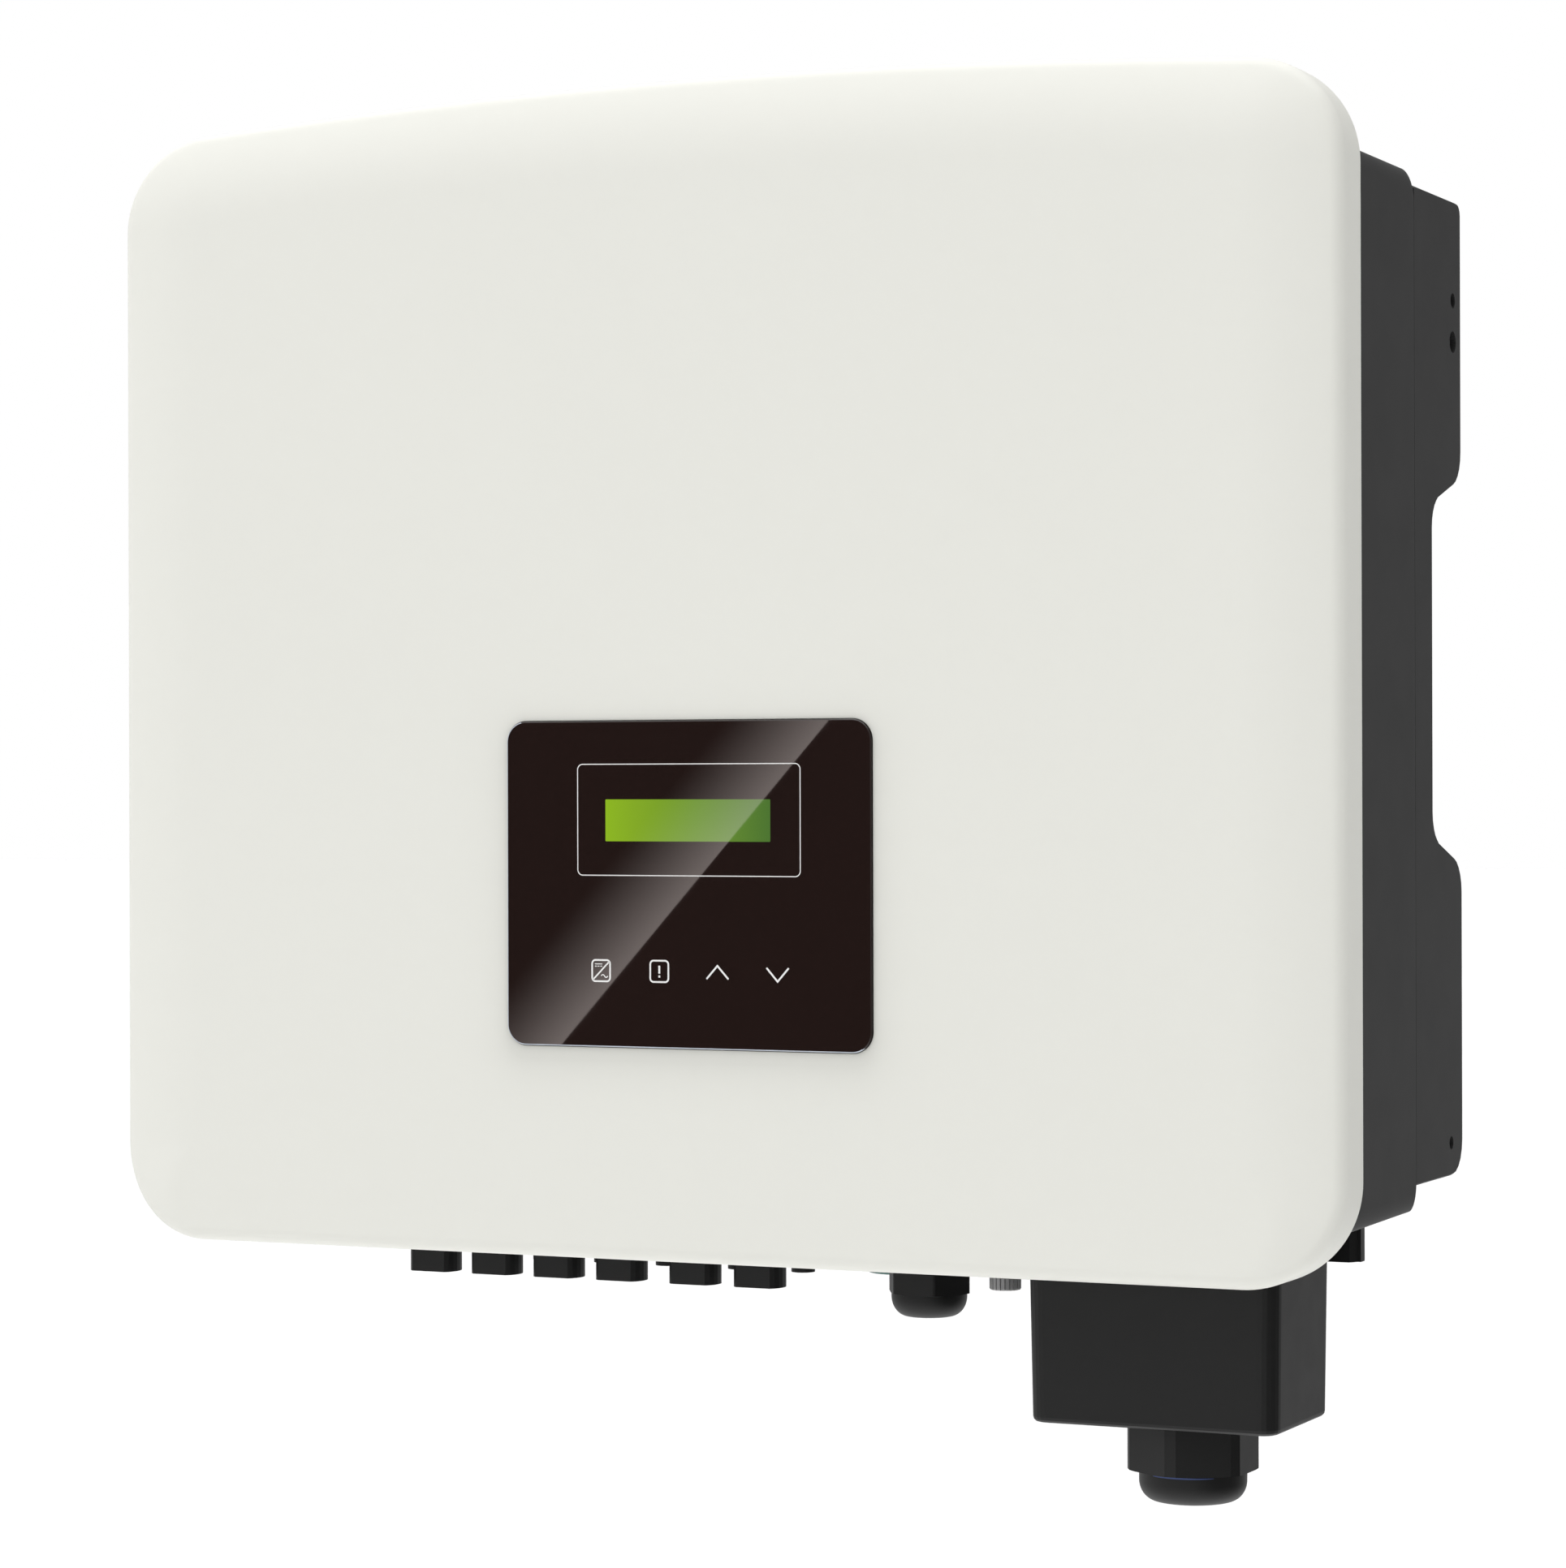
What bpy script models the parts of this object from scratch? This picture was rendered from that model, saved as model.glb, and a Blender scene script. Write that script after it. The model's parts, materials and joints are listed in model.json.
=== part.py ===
"""Wall-hung three-phase string inverter, built as an assembly of separate pieces.

Units are metres. +X is to the right of someone facing the display, +Y points at the wall and +Z up.
The origin is the middle of the wall bracket's back face. Sizes are measured across (from the middle),
back (from the cover's flat face) and up (from the cover's bottom edge), and at() turns a place given
that way into world coordinates.
"""

import math

import bmesh
import bpy
from mathutils import Matrix, Vector

# ---- driving dimensions ----
WALL_BACK = 0.182
BRACKET_UP = 0.341
GAP = 0.0003

COVER_WIDTH = 0.482
COVER_CROWN = 0.4234
COVER_SHOULDER = 0.4161
COVER_CORNER = 0.036
COVER_DEPTH = 0.025
COVER_WALL = 0.003
SIDE_EDGE = {"reach": 0.0355, "dish": 0.0046, "roll": 0.0060}
TOP_EDGE = {"reach": 0.0338, "dish": 0.0080, "roll": 0.0064}
BOTTOM_EDGE = {"reach": 0.0100, "dish": 0.0000, "roll": 0.0052}

BODY_HALF = 0.2306
BODY_LOW = 0.0172
BODY_HIGH = 0.3886
BODY_BACK = 0.1215
BODY_WALL = 0.0042
BODY_FRONT = COVER_DEPTH + GAP

SEAL_HALF = 0.226
SEAL_LOW = 0.0208
SEAL_HIGH = 0.385
SEAL_CORNER = 0.022
SEAL_WIDTH = 0.0045

CHEEK_LOW = 0.0259
CHEEK_HIGH = 0.3850
CHEEK_BACK = 0.181
CHEEK_PLATE = 0.003
NOTCH_BACK = 0.1431
NOTCH_LOW = 0.1390
NOTCH_HIGH = 0.2840
NOTCH_SLOPE = 0.0112
LOCK_BACK = 0.1705
LOCK_UP = 0.3329

FIN_COUNT = 23
FIN_PITCH = 0.0175
FIN_THICK = 0.0026
FIN_BACK = 0.165
SINK_HALF = 0.205
SINK_BASE = 0.006

FAN_SIZE = 0.080
FAN_DEPTH = 0.025
FAN_UP = 0.102
FAN_ACROSS = 0.050
FAN_BACK = 0.1403

LENS = {"middle": 0.0003, "half": 0.07235, "low": 0.0773, "high": 0.1935, "corner": 0.0075}
LENS_PROUD = 0.0009
RECESS = 0.0012

STRING_COLUMNS = (-0.1357, -0.1093, -0.0829, -0.0565, -0.0260, 0.0004)
FRONT_ROW_BACK = 0.058
REAR_ROW_BACK = 0.096
SLEEVE_RADIUS = 0.0097
NECK_RADIUS = 0.0075

COM_GLAND = (0.0607, 0.075)
COM_HEX_ANGLE = math.radians(4.5)
VENT = (0.0906, 0.075)
DONGLE = (0.0375, 0.103)
KNOB = (0.2002, 0.1093)
AC_GLAND = (0.1669, 0.062)

AC_BOX_TOP = {"low": (0.1151, 0.0314), "high": (0.2079, 0.0943)}
AC_BOX_FOOT = {"low": (0.1162, 0.0320), "high": (0.2070, 0.0935)}
AC_BOX_LID = 0.0150
AC_BOX_FLOOR = -0.0535
AC_BOX_CORNER = 0.0065
AC_BOX_WALL = 0.003
AC_BOX_SCREWS = ((0.1275, 0.0420), (0.1960, 0.0820))
TOP_SCREW_ACROSS = 0.190
TOP_SCREW_UP = 0.396
FOOT_SCREW_ACROSS = 0.213
FOOT_SCREW_UP = 0.0105

ROUND_STEPS = 24


# ---- frame and small helpers ----
def at(across, back, up):
    return Vector((across, back - WALL_BACK, up - BRACKET_UP))


def clear_scene():
    for old in list(bpy.data.objects):
        bpy.data.objects.remove(old, do_unlink=True)


def material(name, color, roughness, metallic=0.0):
    made = bpy.data.materials.new(name)
    made.use_nodes = True
    shader = made.node_tree.nodes["Principled BSDF"]
    shader.inputs["Base Color"].default_value = (*color, 1.0)
    shader.inputs["Roughness"].default_value = roughness
    shader.inputs["Metallic"].default_value = metallic
    made.diffuse_color = (*color, 1.0)
    return made


def add_object(name, bm, finish, soft_angle=35.0):
    """A named object from a bmesh, with its normals facing out and its round faces smooth."""
    bmesh.ops.recalc_face_normals(bm, faces=bm.faces)
    mesh = bpy.data.meshes.new(name)
    bm.to_mesh(mesh)
    bm.free()
    mesh.shade_smooth()
    mesh.set_sharp_from_angle(angle=math.radians(soft_angle))
    if finish:
        mesh.materials.append(finish)
    made = bpy.data.objects.new(name, mesh)
    bpy.context.scene.collection.objects.link(made)
    return made


def rounded_rectangle(low, high, radius, steps=5):
    """Points of a rounded rectangle, anticlockwise from its right side's foot."""
    points = []
    centres = (
        (high[0] - radius, low[1] + radius, -90),
        (high[0] - radius, high[1] - radius, 0),
        (low[0] + radius, high[1] - radius, 90),
        (low[0] + radius, low[1] + radius, 180),
    )
    for across, up, start in centres:
        for step in range(steps + 1):
            turn = math.radians(start + 90 * step / steps)
            points.append((across + radius * math.cos(turn), up + radius * math.sin(turn)))
    return points


def circle(middle, radius, steps=ROUND_STEPS, start=0.0):
    return [
        (
            middle[0] + radius * math.cos(start + 2 * math.pi * step / steps),
            middle[1] + radius * math.sin(start + 2 * math.pi * step / steps),
        )
        for step in range(steps)
    ]


def loft(bm, rings):
    """Closed skin through rings that all have the same number of points."""
    loops = [[bm.verts.new(point) for point in ring] for ring in rings]
    for near, far in zip(loops, loops[1:]):
        for index, corner in enumerate(near):
            previous = index - 1
            bm.faces.new((near[previous], corner, far[index], far[previous]))
    bm.faces.new(loops[0])
    bm.faces.new(loops[-1])


def upright(bm, outline, low, high):
    """Outline in (across, back), raised from low to high."""
    loft(bm, [[at(x, y, up) for x, y in outline] for up in (low, high)])


def lying(bm, outline, near, far):
    """Outline in (across, up), carried from near to far along the depth."""
    loft(bm, [[at(x, back, z) for x, z in outline] for back in (near, far)])


def box(bm, low, high):
    corners = [(low[0], low[1]), (high[0], low[1]), (high[0], high[1]), (low[0], high[1])]
    upright(bm, corners, low[2], high[2])


def turned(bm, middle, profile, steps=ROUND_STEPS):
    """Profile of (radius, up) points spun about a vertical axis; radius 0 closes an end."""
    rings = []
    for radius, up in profile:
        ring = [at(x, y, up) for x, y in circle(middle, radius, steps)] if radius else [at(*middle, up)]
        rings.append([bm.verts.new(point) for point in ring])
    pairs = list(zip(rings, rings[1:]))
    if profile[0][0]:
        pairs.append((rings[-1], rings[0]))
    for near, far in pairs:
        for step in range(steps):
            before = step - 1
            if len(near) == 1:
                bm.faces.new((near[0], far[step], far[before]))
            elif len(far) == 1:
                bm.faces.new((near[before], near[step], far[0]))
            else:
                bm.faces.new((near[before], near[step], far[step], far[before]))


def tool(name, bm):
    """A cutter or an addition for a Boolean, left out of the model."""
    made = add_object(name, bm, None)
    made.hide_render = True
    made.display_type = "WIRE"
    return made


def combine(target, operand, operation):
    step = target.modifiers.new(operand.name, "BOOLEAN")
    step.operation = operation
    step.solver = "EXACT"
    step.object = operand


def cut(target, bm, label):
    combine(target, tool(target.name + "_" + label, bm), "DIFFERENCE")


def join(target, bm, label):
    combine(target, tool(target.name + "_" + label, bm), "UNION")


def keep_inside(target, bm, label):
    combine(target, tool(target.name + "_" + label, bm), "INTERSECT")


def finished_mesh(source):
    """The mesh of an object after its modifiers, for copies that share it."""
    bpy.context.view_layer.update()
    graph = bpy.context.evaluated_depsgraph_get()
    mesh = bpy.data.meshes.new_from_object(source.evaluated_get(graph))
    return mesh


def copies(source, places):
    """Objects that share the finished mesh of source, moved by whole steps from where it stands."""
    mesh = finished_mesh(source)
    for name, shift in places:
        made = bpy.data.objects.new(name, mesh)
        made.location = shift
        bpy.context.scene.collection.objects.link(made)


def move_origin(piece, place):
    """Puts an object's origin at a place without moving its shape."""
    piece.data.transform(Matrix.Translation(-place))
    piece.location = place
    for step in piece.modifiers:
        step.object.data.transform(Matrix.Translation(-place))
        step.object.location = place


# ---- the front cover ----
def top_curve():
    """Radius and centre height of the shallow arch along the cover's top."""
    half = COVER_WIDTH / 2 - COVER_CORNER
    rise = COVER_CROWN - COVER_SHOULDER
    radius = (half * half + rise * rise) / (2 * rise)
    return radius, COVER_CROWN - radius


def cover_outline():
    """(across, up, normal angle) round the cover, anticlockwise from the right side's foot."""
    half = COVER_WIDTH / 2
    radius, centre_up = top_curve()
    lean = math.asin((half - COVER_CORNER) / radius)
    shoulder = (half - COVER_CORNER, COVER_SHOULDER - COVER_CORNER)
    points = []

    def corner(middle, start, end, steps):
        for step in range(steps + 1):
            turn = start + (end - start) * step / steps
            x = middle[0] + COVER_CORNER * math.cos(turn)
            z = middle[1] + COVER_CORNER * math.sin(turn)
            points.append((x, z, turn))

    quarter = math.pi / 2
    corner((half - COVER_CORNER, COVER_CORNER), -quarter, 0, 8)
    corner(shoulder, 0, quarter - lean, 8)
    for step in range(1, 10):
        turn = quarter - lean + 2 * lean * step / 10
        points.append((radius * math.cos(turn), centre_up + radius * math.sin(turn), turn))
    corner((-shoulder[0], shoulder[1]), quarter + lean, math.pi, 8)
    corner((COVER_CORNER - half, COVER_CORNER), math.pi, math.pi + quarter, 8)
    return points


def edge_section(edge, steps=5):
    """(inset, depth) from the rim to the flat face: side wall, roll, then a slow curve."""
    run = edge["reach"]
    dish = edge["dish"]
    roll = edge["roll"]
    tilt = 2 * math.atan2(dish, run - roll)
    for _ in range(4):
        tilt = 2 * math.atan2(dish, run - roll * (1 - math.sin(tilt)))
    start = dish + roll * math.cos(tilt)
    section = [(0.0, start)]
    for step in range(1, steps + 1):
        turn = (math.pi / 2 - tilt) * step / steps
        section.append((roll * (1 - math.cos(turn)), start - roll * math.sin(turn)))
    inset = section[-1][0]
    for step in range(1, steps + 1):
        part = step / steps
        section.append((inset + (run - inset) * part, dish * (1 - part) ** 2))
    return section


def cover_rings(inset_more, depth_more, back):
    """Rings of the cover's skin, from its open back to its flat face."""
    side = edge_section(SIDE_EDGE)
    top = edge_section(TOP_EDGE)
    bottom = edge_section(BOTTOM_EDGE)
    outline = cover_outline()
    rings = [[at(x - inset_more * math.cos(t), back, z - inset_more * math.sin(t)) for x, z, t in outline]]
    for index, flank in enumerate(side):
        ring = []
        extra = inset_more * (1 - index / (len(side) - 1))
        for x, z, turn in outline:
            other = top[index] if math.sin(turn) > 0 else bottom[index]
            share = math.cos(turn) ** 2
            inset = share * flank[0] + (1 - share) * other[0] + extra
            depth = share * flank[1] + (1 - share) * other[1] + depth_more
            ring.append(at(x - inset * math.cos(turn), depth, z - inset * math.sin(turn)))
        rings.append(ring)
    return rings


def seal_outline(inset):
    low = (-SEAL_HALF + inset, SEAL_LOW + inset)
    high = (SEAL_HALF - inset, SEAL_HIGH - inset)
    return rounded_rectangle(low, high, SEAL_CORNER - inset, 6)


def lens_outline(grow):
    low = (LENS["middle"] - LENS["half"] - grow, LENS["low"] - grow)
    high = (LENS["middle"] + LENS["half"] + grow, LENS["high"] + grow)
    return rounded_rectangle(low, high, LENS["corner"] + grow, 6)


def cover_screw_places():
    return [
        (-TOP_SCREW_ACROSS, TOP_SCREW_UP),
        (TOP_SCREW_ACROSS, TOP_SCREW_UP),
        (-FOOT_SCREW_ACROSS, FOOT_SCREW_UP),
        (FOOT_SCREW_ACROSS, FOOT_SCREW_UP),
    ]


def front_cover(paint):
    bm = bmesh.new()
    loft(bm, cover_rings(0.0, 0.0, COVER_DEPTH))
    cover = add_object("front_cover", bm, paint, 40)
    hollow = bmesh.new()
    loft(hollow, cover_rings(COVER_WALL - 0.0003, COVER_WALL, COVER_DEPTH + 0.004))
    cut(cover, hollow, "hollow")
    rib = bmesh.new()
    lying(rib, seal_outline(0.0), COVER_WALL - 0.0005, COVER_DEPTH - 0.0023)
    rib_ring = tool("front_cover_rib", rib)
    inside = bmesh.new()
    lying(inside, seal_outline(SEAL_WIDTH), 0.0005, COVER_DEPTH)
    cut(rib_ring, inside, "bore")
    combine(cover, rib_ring, "UNION")
    posts = bmesh.new()
    for place in cover_screw_places():
        front = 0.0032 if place[1] > BODY_HIGH else 0.0022
        lying(posts, circle(place, 0.0053, 20), front, COVER_DEPTH - 0.0002)
    join(cover, posts, "posts")
    holes = bmesh.new()
    for place in cover_screw_places():
        lying(holes, circle(place, 0.0023, 12), 0.0125, COVER_DEPTH + 0.001)
    lying(holes, lens_outline(GAP), -0.002, RECESS)
    cut(cover, holes, "holes")
    window = bmesh.new()
    lying(window, rounded_rectangle((-0.048, 0.090), (0.048, 0.184), 0.003, 2), 0.0002, 0.006)
    cut(cover, window, "window")


def cover_gasket(rubber):
    bm = bmesh.new()
    lying(bm, seal_outline(0.0), COVER_DEPTH - 0.0020, COVER_DEPTH)
    ring = add_object("cover_gasket", bm, rubber)
    inside = bmesh.new()
    lying(inside, seal_outline(SEAL_WIDTH), COVER_DEPTH - 0.003, COVER_DEPTH + 0.001)
    cut(ring, inside, "bore")


def lying_screw(name, place, head_radius, head, shank_end, steel):
    """Pan-head screw along the depth: head is (near, far) and the shank runs to shank_end."""
    bm = bmesh.new()
    shank = [(0.0020, shank_end), (0.0020, head[0])]
    skirt = [(head_radius, head[0]), (head_radius, head[1] - 0.0008), (head_radius - 0.0012, head[1])]
    rings = [[at(x, back, z) for x, z in circle(place, radius, 16)] for radius, back in shank + skirt]
    loft(bm, rings)
    made = add_object(name, bm, steel)
    slot = bmesh.new()
    for turn in (0.0, math.pi / 2):
        reach = Vector((math.cos(turn), math.sin(turn))) * 0.0019
        wide = Vector((-math.sin(turn), math.cos(turn))) * 0.0004
        corners = [reach + wide, -reach + wide, -reach - wide, reach - wide]
        outline = [(place[0] + c.x, place[1] + c.y) for c in corners]
        if turn == 0.0:
            lying(slot, outline, head[1] - 0.0010, head[1] + 0.001)
        else:
            second = bmesh.new()
            lying(second, outline, head[1] - 0.0010, head[1] + 0.001)
            cut(made, second, "cross")
    cut(made, slot, "slot")


def cover_screws(steel):
    for index, place in enumerate(cover_screw_places(), 1):
        lying_screw("cover_screw_%d" % index, place, 0.0034, (0.0306, 0.0336), 0.0150, steel)


# ---- the display ----
def display_lens(gloss):
    bm = bmesh.new()
    lying(bm, lens_outline(0.0), -LENS_PROUD, RECESS - GAP)
    lens = add_object("display_lens", bm, gloss)
    edge = lens.modifiers.new("edge", "BEVEL")
    edge.width = 0.0004
    edge.segments = 2
    edge.limit_method = "ANGLE"
    edge.angle_limit = math.radians(60)


def lcd_module(metal):
    bm = bmesh.new()
    lying(bm, rounded_rectangle((-0.0417, 0.1390), (0.0423, 0.1768), 0.001, 2), RECESS + 0.0001, 0.0116)
    module = add_object("lcd_module", bm, metal)
    glass = bmesh.new()
    lying(glass, rounded_rectangle((-0.0326, 0.1504), (0.0330, 0.1654), 0.0004, 1), 0.0, RECESS + 0.0011)
    cut(module, glass, "window")


def display_board(laminate):
    bm = bmesh.new()
    lying(bm, rounded_rectangle((-0.058, 0.0860), (0.058, 0.1860), 0.003, 3), 0.0119, 0.0135)
    board = add_object("display_board", bm, laminate)
    holes = bmesh.new()
    for across in (-0.053, 0.053):
        for up in (0.0910, 0.1810):
            lying(holes, circle((across, up), 0.0016, 12), 0.011, 0.015)
    cut(board, holes, "holes")


# ---- the housing ----
def housing_rings():
    """Sections of the cast tub: straight, then its top and bottom edges turn in towards the back."""
    depth = 0.0080
    low_rise = 0.0070
    high_drop = 0.0042
    places = [(BODY_FRONT, 0.0)]
    for step in range(5):
        turn = math.pi / 2 * step / 4
        places.append((BODY_BACK - depth * (1 - math.sin(turn)), 1 - math.cos(turn)))
    rings = []
    for back, share in places:
        low = (-BODY_HALF, BODY_LOW + low_rise * share)
        high = (BODY_HALF, BODY_HIGH - high_drop * share)
        rings.append([at(x, back, z) for x, z in rounded_rectangle(low, high, 0.0018, 4)])
    return rings


def housing(paint):
    bm = bmesh.new()
    loft(bm, housing_rings())
    tub = add_object("housing", bm, paint)
    inner = BODY_HALF - BODY_WALL
    ears = bmesh.new()
    for across, up in cover_screw_places():
        rises = up > BODY_HIGH
        low = BODY_HIGH - 0.006 if rises else up - 0.0065
        high = up + 0.0065 if rises else BODY_LOW + 0.006
        outline = rounded_rectangle((across - 0.0075, low), (across + 0.0075, high), 0.002, 2)
        lying(ears, outline, BODY_FRONT + 0.0002, 0.0303)
    join(tub, ears, "ears")
    pocket = bmesh.new()
    outline = rounded_rectangle((-inner, BODY_LOW + BODY_WALL), (inner, BODY_HIGH - BODY_WALL), 0.004, 3)
    lying(pocket, outline, 0.0300, BODY_BACK - BODY_WALL)
    cut(tub, pocket, "pocket")
    mouth = bmesh.new()
    lying(mouth, rounded_rectangle((-0.213, 0.034), (0.213, 0.372), 0.018, 5), 0.020, 0.031)
    cut(tub, mouth, "mouth")
    holes = bmesh.new()
    low = BODY_LOW - 0.004
    high = BODY_LOW + BODY_WALL + 0.003
    for across in STRING_COLUMNS:
        for back in (FRONT_ROW_BACK, REAR_ROW_BACK):
            upright(holes, circle((across, back), 0.0063, 16), low, high)
    upright(holes, circle(COM_GLAND, 0.0102), low, high)
    upright(holes, circle(VENT, 0.0053, 16), low, high)
    upright(holes, circle(DONGLE, 0.0083, 20), low, high)
    upright(holes, circle(KNOB, 0.0045, 16), low, high)
    upright(holes, rounded_rectangle((0.145, 0.054), (0.181, 0.070), 0.002, 2), low, high)
    for place in AC_BOX_SCREWS:
        upright(holes, circle(place, 0.0023, 12), low, high)
    for across, up in cover_screw_places():
        lying(holes, circle((across, up), 0.0024, 12), 0.024, 0.032)
    cut(tub, holes, "holes")


def heat_sink(paint):
    """Comb of upright fins on a base plate, with room left for the two fans."""
    base = BODY_BACK + GAP
    outline = [(-SINK_HALF, base), (SINK_HALF, base), (SINK_HALF, base + SINK_BASE)]
    first = (FIN_COUNT - 1) / 2 * FIN_PITCH
    for index in range(FIN_COUNT):
        middle = first - index * FIN_PITCH
        outline.append((middle + FIN_THICK / 2 + 0.0004, base + SINK_BASE))
        outline.append((middle + FIN_THICK / 2, FIN_BACK))
        outline.append((middle - FIN_THICK / 2, FIN_BACK))
        outline.append((middle - FIN_THICK / 2 - 0.0004, base + SINK_BASE))
    outline.append((-SINK_HALF, base + SINK_BASE))
    bm = bmesh.new()
    upright(bm, outline, 0.0285, 0.3820)
    sink = add_object("heat_sink", bm, paint, 20)
    room = bmesh.new()
    reach = FAN_ACROSS + FAN_SIZE / 2 + 0.002
    half = FAN_SIZE / 2 + 0.002
    box(room, (-reach, FAN_BACK - GAP, FAN_UP - half), (reach, FIN_BACK + 0.003, FAN_UP + half))
    cut(sink, room, "fan_room")


def arc(middle, radius, start, end, steps):
    points = []
    for step in range(steps + 1):
        turn = math.radians(start + (end - start) * step / steps)
        points.append((middle[0] + radius * math.cos(turn), middle[1] + radius * math.sin(turn)))
    return points


def rounded_corner(before, corner, after, radius, steps=4):
    """Arc that rounds one corner of an outline in a plane."""
    before, corner, after = Vector(before), Vector(corner), Vector(after)
    to_before = (before - corner).normalized()
    to_after = (after - corner).normalized()
    half = to_before.angle(to_after) / 2
    reach = radius / math.tan(half)
    middle = corner + (to_before + to_after).normalized() * radius / math.sin(half)
    first = corner + to_before * reach - middle
    last = corner + to_after * reach - middle
    turn = first.angle_signed(last)
    points = []
    for step in range(steps + 1):
        angle = -turn * step / steps
        spun = Matrix.Rotation(angle, 2) @ first
        points.append(tuple(middle + spun))
    return points


def cheek_outline():
    """Side plate seen from the right, in (back, up), with the hand notch in its rear edge."""
    front = BODY_BACK + GAP
    corners = [
        ((front, CHEEK_LOW), 0.0005, 1),
        ((CHEEK_BACK, CHEEK_LOW), 0.0120, 5),
        ((CHEEK_BACK, NOTCH_LOW), 0.0130, 5),
        ((NOTCH_BACK, NOTCH_LOW + NOTCH_SLOPE), 0.0120, 5),
        ((NOTCH_BACK, NOTCH_HIGH - NOTCH_SLOPE), 0.0120, 5),
        ((CHEEK_BACK, NOTCH_HIGH), 0.0130, 5),
        ((CHEEK_BACK, CHEEK_HIGH), 0.0040, 4),
        ((front, CHEEK_HIGH), 0.0005, 1),
    ]
    points = []
    for index, (corner, radius, steps) in enumerate(corners):
        before = corners[index - 1][0]
        after = corners[(index + 1) % len(corners)][0]
        points += rounded_corner(before, corner, after, radius, steps)
    return points


def cheek(name, side, paint):
    """Side plate with its front flange, mirrored by side, which is 1 on the right and -1 on the left."""
    bm = bmesh.new()
    outline = cheek_outline()
    soften = 0.0012
    rings = [
        [at(side * (BODY_HALF - CHEEK_PLATE), back, up) for back, up in outline],
        [at(side * (BODY_HALF - soften), back, up) for back, up in outline],
    ]
    middle_back = (BODY_BACK + CHEEK_BACK) / 2
    middle_up = (CHEEK_LOW + CHEEK_HIGH) / 2
    shrunk = []
    for back, up in outline:
        step_back = soften * 0.6 if back > middle_back else 0.0
        shrunk.append((back - step_back, up - math.copysign(soften * 0.6, up - middle_up)))
    rings.append([at(side * BODY_HALF, back, up) for back, up in shrunk])
    loft(bm, rings)
    plate = add_object(name, bm, paint)
    flange = bmesh.new()
    near, far = side * 0.2070, side * (BODY_HALF - CHEEK_PLATE + 0.0010)
    front = BODY_BACK + GAP
    low = (min(near, far), front + 0.0002, CHEEK_LOW + 0.003)
    box(flange, low, (max(near, far), front + 0.0030, CHEEK_HIGH - 0.003))
    join(plate, flange, "flange")
    holes = bmesh.new()
    for back, up, radius in ((0.1707, 0.3482, 0.0028), (LOCK_BACK, LOCK_UP, 0.0040), (0.1661, 0.0381, 0.0025)):
        ends = (side * (BODY_HALF - 0.006), side * (BODY_HALF + 0.002))
        loft(holes, [[at(x, y, z) for y, z in circle((back, up), radius, 20)] for x in ends])
    cut(plate, holes, "holes")


# ---- hanging on the wall ----
def wall_bracket(steel):
    bm = bmesh.new()
    lying(bm, rounded_rectangle((-0.2255, 0.303), (0.2255, 0.379), 0.004, 3), 0.180, WALL_BACK)
    plate = add_object("wall_bracket", bm, steel, 30)
    hook = bmesh.new()
    shape = [(0.1712, 0.3660), (0.1805, 0.3660), (0.1805, 0.3680), (0.1732, 0.3680), (0.1732, 0.3797), (0.1712, 0.3797)]
    loft(hook, [[at(x, back, up) for back, up in shape] for x in (-0.160, 0.160)])
    join(plate, hook, "hook")
    ears = bmesh.new()
    for side in (-1, 1):
        low, high = sorted((side * 0.2235, side * 0.2253))
        box(ears, (low, 0.1600, 0.3220), (high, 0.1805, 0.3580))
    join(plate, ears, "ears")
    holes = bmesh.new()
    for side in (-1, 1):
        ends = (side * 0.2200, side * 0.2280)
        loft(holes, [[at(x, y, z) for y, z in circle((LOCK_BACK, LOCK_UP), 0.0023, 12)] for x in ends])
    for across in (-0.180, -0.060, 0.060, 0.180):
        for up in (0.3180, 0.3520):
            lying(holes, circle((across, up), 0.0040, 16), 0.178, 0.184)
    cut(plate, holes, "holes")


def hanger_bar(steel):
    """Folded strip on the back of the fins that hooks over the bracket."""
    shape = [
        (0.1653, 0.3450),
        (0.1673, 0.3450),
        (0.1673, 0.3800),
        (0.1750, 0.3800),
        (0.1750, 0.3720),
        (0.1770, 0.3720),
        (0.1770, 0.3820),
        (0.1653, 0.3820),
    ]
    bm = bmesh.new()
    loft(bm, [[at(x, back, up) for back, up in shape] for x in (-0.150, 0.150)])
    bar = add_object("hanger_bar", bm, steel, 30)
    holes = bmesh.new()
    for across in (-0.130, 0.0, 0.130):
        lying(holes, circle((across, 0.3560), 0.0028, 12), 0.160, 0.170)
    cut(bar, holes, "holes")


def lock_screw(name, side, steel):
    """Screw along X that locks a cheek to the bracket's ear."""
    stations = [(0.0020, 0.2180), (0.0020, 0.2258), (0.0036, 0.2258), (0.0036, 0.2280), (0.0026, 0.2288)]
    bm = bmesh.new()
    place = (LOCK_BACK, LOCK_UP)
    rings = [[at(side * x, y, z) for y, z in circle(place, radius, 16)] for radius, x in stations]
    loft(bm, rings)
    screw = add_object(name, bm, steel)
    socket = bmesh.new()
    ends = (side * 0.2272, side * 0.2300)
    loft(socket, [[at(x, y, z) for y, z in circle(place, 0.0015, 6)] for x in ends])
    cut(screw, socket, "socket")


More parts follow.
